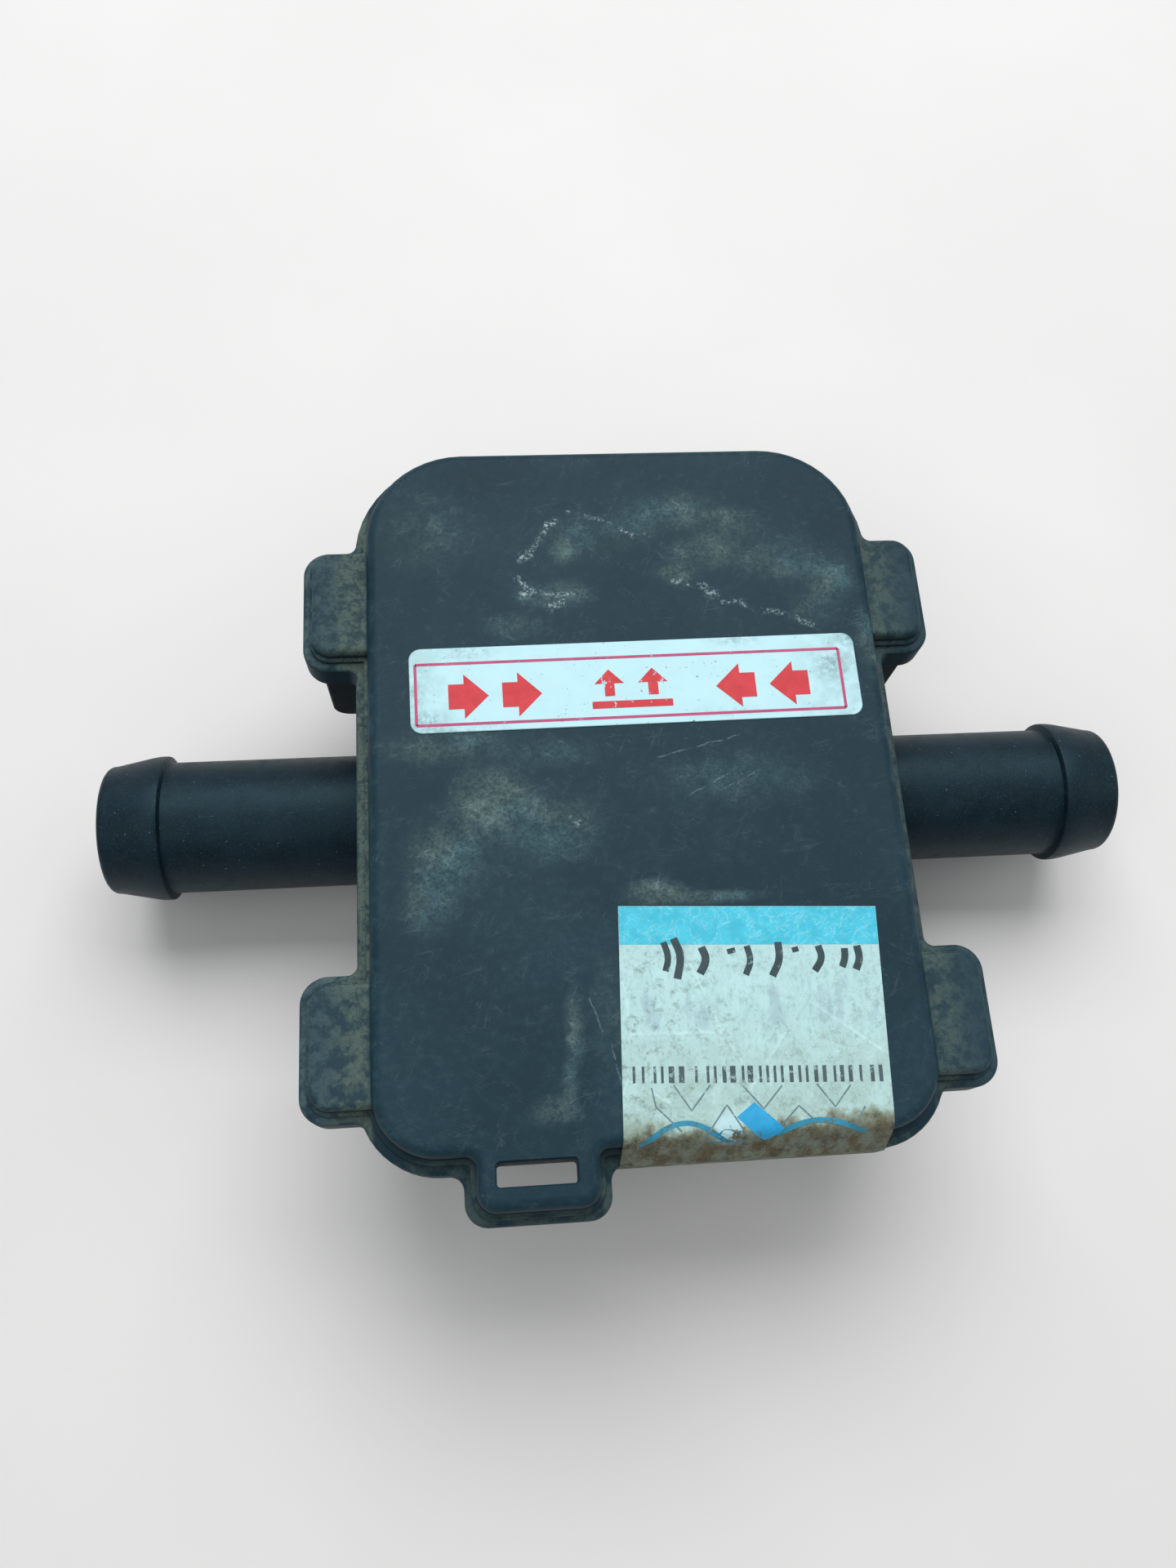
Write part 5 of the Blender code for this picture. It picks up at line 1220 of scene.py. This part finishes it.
def make_board():
    """The board with its traces, pads, marks, chips, small parts and solder joints."""
    board = upright("circuit_board_laminate",
                    box_arcs(BOARD_LOW.x, BOARD_HIGH.x, BOARD_LOW.y, BOARD_HIGH.y, 1.2, 4.5),
                    [(-0.06, BOARD_LOW.z), (0.0, BOARD_LOW.z + 0.06), (0.0, BOARD_TOP - 0.06),
                     (-0.06, BOARD_TOP)])
    cut(board, *[rod("hole", 1.1, BOARD_LOW.z - 0.5, BOARD_TOP + 0.5, turn_to("Z", x, y), steps=24)
                 for x, y in POSTS])
    settle(board, "board_laminate", "circuit_board")

    traces, marks, dark, brown, legs = [], [], [], [], []
    pads = [flat_ring(1.15, 2.1, 2.1, 0.04, x, y, 40) for x, y in POSTS]
    pads += [solder_cone(x, rise, 0.85) for x, z, rise in pin_places()]
    pads += [solder_cone(THERMISTOR_X + side * 0.62, 0.0, 0.5, 0.6) for side in (-1, 1)]
    pads += [solder_cone(x + ox, y + oy, 0.42, 0.35) for x, y in (GAS_SENSOR, MANIFOLD_SENSOR)
             for ox in (-3.0, -1.0, 1.0, 3.0) for oy in (-3.2, 3.2)]
    make_processor(pads, traces, legs)
    make_regulator(pads, legs)
    for number in (1, 2):
        make_capacitor(f"smoothing_capacitor_{number}", pads, legs, dark)
    for kind, places, bodies in (("resistor", RESISTORS, dark), ("capacitor", CAPACITORS, brown)):
        for place in places:
            body, ends = small_part(kind, *place)
            bodies.append(body)
            legs += ends
    for step in range(4):
        for side in (-1, 1):
            y = 0.8 + 1.27 * step
            legs.append(gull_leg(13.5, y, (side, 0, 0), 1.9, 3.0, BOARD_TOP + 0.8, 0.38))
            pads.append(pad_plate(13.5 + side * 2.85, y, 0.9, 0.6))
    dark.append(block("logic", 11.6, 15.4, 0.2, 5.2, BOARD_TOP + 0.15, BOARD_TOP + 1.5, 0.15, 0.1))
    for run in TRACE_RUNS:
        traces.append(line_plate(run, 0.34 if len(run) > 4 else 0.24))
        pads.append(via(*run[-1]))
    low, high = box_mm("signal_processor")
    wide = high.x - low.x + 2.6
    for x, y, width, height in ((*middle_of("signal_processor")[:2], wide, wide),
                                (*middle_of("voltage_regulator")[:2], 7.4, 7.2), (2.0, -10.0, 5.2, 9.6),
                                (2.0, -18.5, 5.2, 9.0), (13.5, 2.7, 6.9, 5.8)):
        marks += frame_lines(x, y, width, height)
    for name, made, slot, look in (("board_solder_pads", pads, "pin_metal", SOLDER_LOOK),
                                   ("board_part_leads", legs, "pin_metal", SOLDER_LOOK),
                                   ("board_traces", traces, "board_laminate", TRACE_LOOK),
                                   ("board_marks", marks, "label_film", MARK_LOOK),
                                   ("board_chip_resistors", dark, "chip_moulding", None),
                                   ("board_chip_capacitors", brown, "capacitor_moulding", None)):
        settle(gather(name, made), slot, look=look)


def make_pins():
    """Six round pins with pointed tips that run back and turn up through the board."""
    section = [(0.32 * math.cos(2 * math.pi * k / 16), 0.32 * math.sin(2 * math.pi * k / 16))
               for k in range(16)]
    point = [(0.0, 26.2), (0.12, 26.18), (0.32, 25.85), (0.32, 25.7), (0.0, 25.7)]
    for number, (x, z, rise) in enumerate(pin_places(), 1):
        bend = arc(rise - 0.7, z + 0.7, 0.7, 270, 360)
        path = [(x, -25.9, z), *[(x, y, h) for y, h in bend], (x, rise, PIN_TOP - 0.15)]
        pin = tube("body", path, section, (1, 0, 0))
        tip = revolve("tip", point, turn_to("-Y", x, 0.0, z), 16, closed=False)
        end = rod("end", 0.32, PIN_TOP - 0.2, PIN_TOP, turn_to("Z", x, rise), 0.1, 16)
        settle(gather(f"terminal_pin_{number}_body", [pin, tip, end]), "pin_metal", f"terminal_pin_{number}")


def make_screws():
    """Pan-head screws with a cross recess and a threaded shank."""
    low, high = box_mm("board_screw_1")
    top = high.z
    profile = [(0.0, top), (0.7, top), (1.15, top - 0.1), (1.5, top - 0.32), (1.68, top - 0.62),
               (1.7, top - 0.8), (1.66, top - 1.2), (0.78, top - 1.2)]
    z = top - 1.4
    while z > low.z + 1.2:
        profile += [(0.62, z), (0.8, z - 0.25), (0.8, z - 0.3), (0.62, z - 0.55)]
        z -= 0.6
    profile.append((0.0, low.z + 0.02))
    for number, (x, y) in enumerate(POSTS, 1):
        screw = revolve(f"board_screw_{number}_body", profile, turn_to("Z", x, y), 40, closed=False)
        angle = draw.uniform(0, math.pi / 2)
        recess = []
        for turn in (0, math.pi / 2):
            arm = block("arm", -1.0, 1.0, -0.2, 0.2, top - 0.75, top + 0.3, 0.1, 0.02)
            arm.data.transform(Matrix.Translation((x, y, 0)) @ Matrix.Rotation(angle + turn, 4, "Z"))
            recess.append(arm)
        cut(screw, *recess)
        settle(screw, "screw_steel", f"board_screw_{number}")


# ---------------------------------------------------------------- direction label
LABEL_CENTRE = middle_of("direction_label")[:2]
LABEL_TILT = math.radians(0.5)
FILM_TOP = LID_TOP + 0.12
FILM_TINT = (0.44, 0.70, 0.77)
ARROW_RED = (0.50, 0.020, 0.030)


def on_label(piece, replaced, look):
    """Put a piece drawn about the label's middle in its place and settle it."""
    piece.data.transform(Matrix.Translation((*LABEL_CENTRE, 0.0)) @ Matrix.Rotation(LABEL_TILT, 4, "Z"))
    settle(piece, "label_film", replaced, look, "lid")


def print_on_label(name, shapes, ink, colour, worn, amount):
    """Thin printed shapes from their outlines, in one ink."""
    parts = [loft("print", [[(u, v, z) for u, v in points] for z in (FILM_TOP - 0.01, FILM_TOP + 0.022)])
             for points in shapes]
    on_label(gather(name, parts), None, ink_look(ink, colour, worn, FILM_TINT, amount))


def make_label():
    """The film, its red frame line, the two pairs of arrows, and a this-way-up sign between them."""
    film = upright("direction_label_film", around(0.0, 0.0, 19.05, 3.82, 1.0),
                   [(-0.02, LID_TOP + 0.01), (0.0, LID_TOP + 0.03), (0.0, FILM_TOP - 0.04),
                    (-0.04, FILM_TOP)])
    on_label(film, "direction_label", label_look())
    u, v, half_u, half_v, half_line = -0.475, -0.4, 18.07, 2.75, 0.12
    lines = []
    for sign in (-1, 1):
        lines += [outline(around(u, v + sign * half_v, half_u, half_line, 0.03)),
                  outline(around(u + sign * half_u, v, half_line, half_v, 0.03))]
    print_on_label("label_frame_line", lines, "label_line_ink", (0.40, 0.045, 0.135), 0.38, 0.4)
    arrows = []
    for tip, way, length in ((-12.5, 1, 3.35), (-8.05, 1, 3.3), (6.7, -1, 3.4), (11.3, -1, 3.4)):
        tail, neck, middle = tip - way * length, tip - way * (length - 1.3), -0.68
        points = [(tail, middle - 1.12), (neck, middle - 1.12), (neck, middle - 2.0), (tip, middle),
                  (neck, middle + 2.0), (neck, middle + 1.12), (tail, middle + 1.12)]
        arrows.append(points[::way])
    print_on_label("label_arrows", arrows, "label_arrow_ink", ARROW_RED, 0.34, 0.4)
    signs = [outline(box_arcs(-3.9, 2.9, -2.3, -1.65, 0.08))]
    signs += [[(middle + u, v) for u, v in ((-0.42, -1.2), (0.42, -1.2), (0.42, -0.05), (1.25, -0.05),
                                            (0.0, 1.25), (-1.25, -0.05), (-0.42, -0.05))]
              for middle in (-2.35, 1.35)]
    print_on_label("label_up_sign", signs, "label_sign_ink", ARROW_RED, 0.405, 0.85)


# ---------------------------------------------------------------- tamper seal
SEAL_CORNER = Vector((-2.3, -13.3))
SEAL_TILT = math.radians(-2.8)
SEAL_WIDTH = 20.7
ACROSS = Vector((math.cos(SEAL_TILT), math.sin(SEAL_TILT)))
DOWN = Vector((math.sin(SEAL_TILT), -math.cos(SEAL_TILT)))
FOLD = FACE_FOOT + FACE_ROUNDING
PAPER = 0.13                            # the paper's top above the lid
PAPER_FOOT = 0.012                      # and its underside
PAPER_TINT = (0.43, 0.65, 0.66)
STAINED = (0.10, 0.13, 0.09)


class Fold:
    """The seal's path in the YZ plane: where a flat point that is s past the fold comes to lie."""

    def __init__(self, points, start):
        self.points = [Vector(point) for point in points]
        self.at = [start]
        for before, after in zip(self.points, self.points[1:]):
            self.at.append(self.at[-1] + (after - before).length)
        runs = [(after - before).normalized() for before, after in zip(self.points, self.points[1:])]
        runs = [runs[0], *[(a + b).normalized() for a, b in zip(runs, runs[1:])], runs[-1]]
        self.normals = [Vector((run.y, -run.x)) for run in runs]

    def place(self, s):
        """Point and outward normal at length s."""
        index = 0
        while index < len(self.at) - 2 and s > self.at[index + 1]:
            index += 1
        share = (s - self.at[index]) / (self.at[index + 1] - self.at[index])
        point = self.points[index].lerp(self.points[index + 1], share)
        normal = self.normals[index].lerp(self.normals[index + 1], share).normalized()
        return point, normal


def upper_fold():
    """Over the face's rim, straight across to the flange's edge, and down it."""
    over = [on_circle(FOLD, LID_TOP - FACE_ROUNDING, FACE_ROUNDING, a) for a in range(90, 146, 6)]
    flange = FACE_FOOT - FLANGE_STEP
    edge = [on_circle(flange - 0.02 + 0.45, FLANGE_TOP - 0.4, 0.45, a) for a in range(146, 181, 7)]
    return Fold([(FOLD + 20.0, LID_TOP), *over, *edge, (flange - 0.04, LID_FOOT + 0.12)], -20.0)


def lower_fold(start):
    """From the base's flange in to the wall and down it."""
    flange, wall = FACE_FOOT - 0.5 - 0.02, FACE_FOOT - BODY_OFFSET - 0.02
    low = BASE_FLANGE[0]
    return Fold([(flange - 0.05, BASE_FLANGE[1] + 0.05), (flange, low + 0.3), (flange + 0.08, low - 0.05),
                 (flange + 0.3, low - 0.5), (wall - 0.3, low - 2.0), (wall - 0.08, low - 2.5),
                 (wall, low - 3.0), (wall, 8.5)], start)


UPPER = upper_fold()
LOWER = lower_fold(UPPER.at[-1] + 0.1)


def sheet_on_seal(name, grid, lift_low, lift_high, fold=UPPER):
    """A thin sheet on the seal over a grid of flat (across, down) places."""
    def lifted(place, lift):
        """The place in space of a flat place, lift off the surface."""
        flat = SEAL_CORNER + ACROSS * place[0] + DOWN * place[1]
        point, normal = fold.place(FOLD - flat.y)
        spot = point + normal * lift
        return (flat.x, spot.x, spot.y)

    top, bottom = [[[lifted(place, lift) for place in row] for row in grid] for lift in (lift_high, lift_low)]
    return shell(name, top, bottom)


def spread(low, high, step):
    """Evenly spaced numbers from low to high, step or less apart."""
    count = max(1, math.ceil((high - low) / step))
    return [low + (high - low) * index / count for index in range(count + 1)]


def paper_rows(begin, end, count):
    """The seal's columns of places between two lengths past the fold."""
    rows = []
    for u in spread(0.0, SEAL_WIDTH, 0.5):
        first, last = [(FOLD - s - SEAL_CORNER.y - ACROSS.y * u) / DOWN.y if s is not None else 0.0
                       for s in (begin, end)]
        rows.append([(u, first + (last - first) * k / count) for k in range(count + 1)])
    return rows


def ribbon(points, width, lift=PAPER):
    """An ink line on the seal through (across, down) points."""
    points = [Vector(point) for point in points]
    dense = [points[0]]
    for before, after in zip(points, points[1:]):
        count = max(1, math.ceil((after - before).length / 0.35))
        dense += [before.lerp(after, (index + 1) / count) for index in range(count)]
    sides = [Vector((-run.y, run.x)) * width / 2 for run in runs_along(dense)]
    grid = [[point + side * sign for point, side in zip(dense, sides)] for sign in (-1, 1)]
    return sheet_on_seal("ink", grid, lift - 0.01, lift + 0.018)


def smoothed(points, rounds=2):
    """A broken line with its corners cut, so that it reads as drawn by hand."""
    points = [Vector(point) for point in points]
    for _ in range(rounds):
        inner = []
        for before, after in zip(points, points[1:]):
            inner += [before.lerp(after, 0.25), before.lerp(after, 0.75)]
        points = [points[0], *inner, points[-1]]
    return points


PEN_STROKES = [[(4.3, 2.6), (4.9, 4.0), (4.5, 5.8)], [(3.5, 2.9), (3.9, 4.1), (3.6, 5.2)],
               [(6.5, 3.3), (6.9, 4.3), (6.3, 5.4)], [(8.8, 3.4), (8.9, 3.8)],
               [(10.1, 3.2), (10.4, 4.4), (9.9, 5.5)], [(12.6, 2.9), (12.7, 4.3), (12.0, 5.6)],
               [(13.9, 3.3), (14.0, 3.7)], [(15.8, 3.2), (16.1, 4.2), (15.4, 5.2)],
               [(18.9, 3.2), (19.1, 4.2), (18.7, 5.1)], [(17.9, 3.4), (17.9, 4.2), (17.6, 4.9)]]
ZIGZAGS = [[(2.2, 14.1), (2.5, 15.5), (4.4, 17.3)], [(3.9, 13.9), (5.2, 15.8), (6.7, 13.9)],
           [(6.2, 17.7), (7.9, 15.4), (9.2, 17.4)], [(9.2, 14.0), (10.7, 15.7), (12.2, 14.0)],
           [(11.9, 17.0), (13.4, 15.5), (14.8, 16.8)], [(14.9, 13.9), (16.2, 15.6), (17.5, 14.0)],
           [(18.5, 15.6), (17.5, 17.2)]]


def seal_bars():
    """Plain upright bars of uneven width across the seal."""
    bars = []
    u = 0.9
    while u < 20.0:
        width = draw.choice((0.2, 0.2, 0.3, 0.42))
        bars.append(ribbon([(u, 12.5), (u, 13.75)], width))
        u += width + draw.choice((0.36, 0.5, 0.7))
    return bars


def seal_waves():
    """Two blue arcs and a blot between them, just over the other marks."""
    waves = [ribbon([(start + width * k / 16, depth - tall * math.sin(math.pi * k / 16)) for k in range(17)],
                    0.38, PAPER + 0.004)
             for start, depth, width, tall in ((1.3, 18.4, 6.9, 1.7), (11.6, 17.5, 7.0, 0.95))]
    blot = [(6.8 + 0.45 * k, 17.75 + 0.25 * math.sin(1.9 * k)) for k in range(6)]
    return [*waves, ribbon(blot, 0.9, PAPER + 0.004)]


def make_seal():
    """The paper seal in two halves, its cyan band, and its marks: pen ticks, bars, zigzags, blue signs."""
    upper = sheet_on_seal("tamper_seal_upper_paper", paper_rows(None, UPPER.at[-1] - 0.02, 60),
                          PAPER_FOOT, PAPER)
    settle(upper, "seal_paper", "tamper_seal_upper",
           paper_look("seal_paper_look", (0.425, 0.650, 0.660), (0.360, 0.530, 0.495)), "lid", 60)
    lower = sheet_on_seal("tamper_seal_lower_paper", paper_rows(LOWER.at[0], LOWER.at[-1] - 0.02, 30),
                          PAPER_FOOT, PAPER, LOWER)
    settle(lower, "seal_paper", "tamper_seal_lower",
           paper_look("seal_paper_lower_look", (0.24, 0.33, 0.29), (0.20, 0.26, 0.21)), angle=60)

    band_rows = [[(u, t) for t in spread(0.02, 3.1, 0.6)] for u in spread(0.02, SEAL_WIDTH - 0.02, 0.8)]
    band = sheet_on_seal("band", band_rows, PAPER - 0.005, PAPER + 0.012)
    ticks = [ribbon(smoothed(stroke), 0.58 + 0.08 * math.sin(3 * stroke[0][0])) for stroke in PEN_STROKES]
    zigzags = [ribbon(points, 0.12) for points in ZIGZAGS]
    corner, along, aside = Vector((8.6, 16.3)), Vector((2.2, 1.9)), Vector((1.4, -1.1))
    diamond_rows = [[corner + along * v + aside * u for v in spread(0.0, 1.0, 0.12)]
                    for u in spread(0.0, 1.0, 0.25)]
    diamond = sheet_on_seal("diamond", diamond_rows, PAPER - 0.005, PAPER + 0.025)
    for name, parts, ink in (
            ("band", [band], ("seal_band_ink", (0.040, 0.455, 0.610), 0.43, (0.16, 0.58, 0.70), 0.5, 0.45)),
            ("pen_ticks", ticks, ("pen_ink", (0.022, 0.048, 0.056), 0.41, PAPER_TINT, 0.40)),
            ("bars", seal_bars(), ("bar_ink", (0.055, 0.085, 0.095), 0.44, PAPER_TINT, 0.5)),
            ("zigzag", zigzags, ("zigzag_ink", (0.12, 0.19, 0.21), 0.42, PAPER_TINT, 0.5)),
            ("waves", seal_waves(), ("wave_ink", (0.028, 0.230, 0.360), 0.45, STAINED, 0.7)),
            ("diamond", [diamond], ("diamond_ink", (0.022, 0.315, 0.590), 0.40, (0.09, 0.13, 0.10), 0.6))):
        settle(gather(f"seal_{name}", parts), "seal_paper", look=ink_look(*ink), body="lid")


# ---------------------------------------------------------------- stage, lights, camera
def make_stage():
    """A level floor just under the part."""
    steps = spread(-900.0, 900.0, 300.0)
    rows = len(steps)
    faces = [(rows * i + j, rows * (i + 1) + j, rows * (i + 1) + j + 1, rows * i + j + 1)
             for i in range(rows - 1) for j in range(rows - 1)]
    floor = mesh_object("floor", [(x, y, -0.02) for x in steps for y in steps], faces)
    floor.data.transform(Matrix.Scale(MM, 4))
    floor.data.materials.append(floor_look())
    if floor.data.polygons[0].normal.z < 0:
        floor.data.flip_normals()


def area_light(name, size, power, place):
    """A rectangular lamp aimed at the origin."""
    lamp = bpy.data.lights.new(name, "AREA")
    lamp.shape = "RECTANGLE"
    lamp.size, lamp.size_y = size
    lamp.energy = power
    made = place_mesh(name, lamp)
    made.location = place
    made.rotation_euler = (-Vector(place)).to_track_quat("-Z", "Y").to_euler()


def make_lights():
    """A large soft key from above, a fill, a weak rim light, and a pale sky."""
    area_light("key", (0.70, 0.45), 4.5, (0.02, 0.36, 0.58))
    area_light("fill", (0.60, 0.60), 1.35, (-0.30, -0.22, 0.66))
    area_light("rim", (0.30, 0.60), 0.5, (0.50, -0.05, 0.35))
    world = bpy.data.worlds.new("studio")
    bpy.context.scene.world = world
    world.use_nodes = True
    background = world.node_tree.nodes["Background"]
    background.inputs["Color"].default_value = (0.95, 0.97, 1.0, 1.0)
    background.inputs["Strength"].default_value = 0.25


def make_camera():
    """At the photograph's place: nearly above, a little to the lower left, turned a little."""
    place, target = Vector((-0.01243, -0.03714, 0.12407)), Vector((-0.00401, -0.00292, 0.026))
    forward = (target - place).normalized()
    roll = math.radians(3.70)
    right = forward.cross(Vector((math.sin(roll), math.cos(roll), 0.0))).normalized()
    up = right.cross(forward)
    lens = bpy.data.cameras.new("camera")
    lens.lens = 29.24
    lens.sensor_width = 36.0
    lens.sensor_fit = "AUTO"
    lens.clip_start = 0.005
    lens.clip_end = 10.0
    camera = place_mesh("camera", lens)
    camera.matrix_world = Matrix.Translation(place) @ Matrix((right, up, -forward)).transposed().to_4x4()
    bpy.context.scene.camera = camera
    bpy.context.scene.view_settings.view_transform = "Standard"


for make in (make_camera, make_stage, make_lights, make_lid, make_base, make_tails, make_nipple, make_gasket,
             make_sensors, make_board, make_pins, make_screws, make_label, make_seal):
    make()
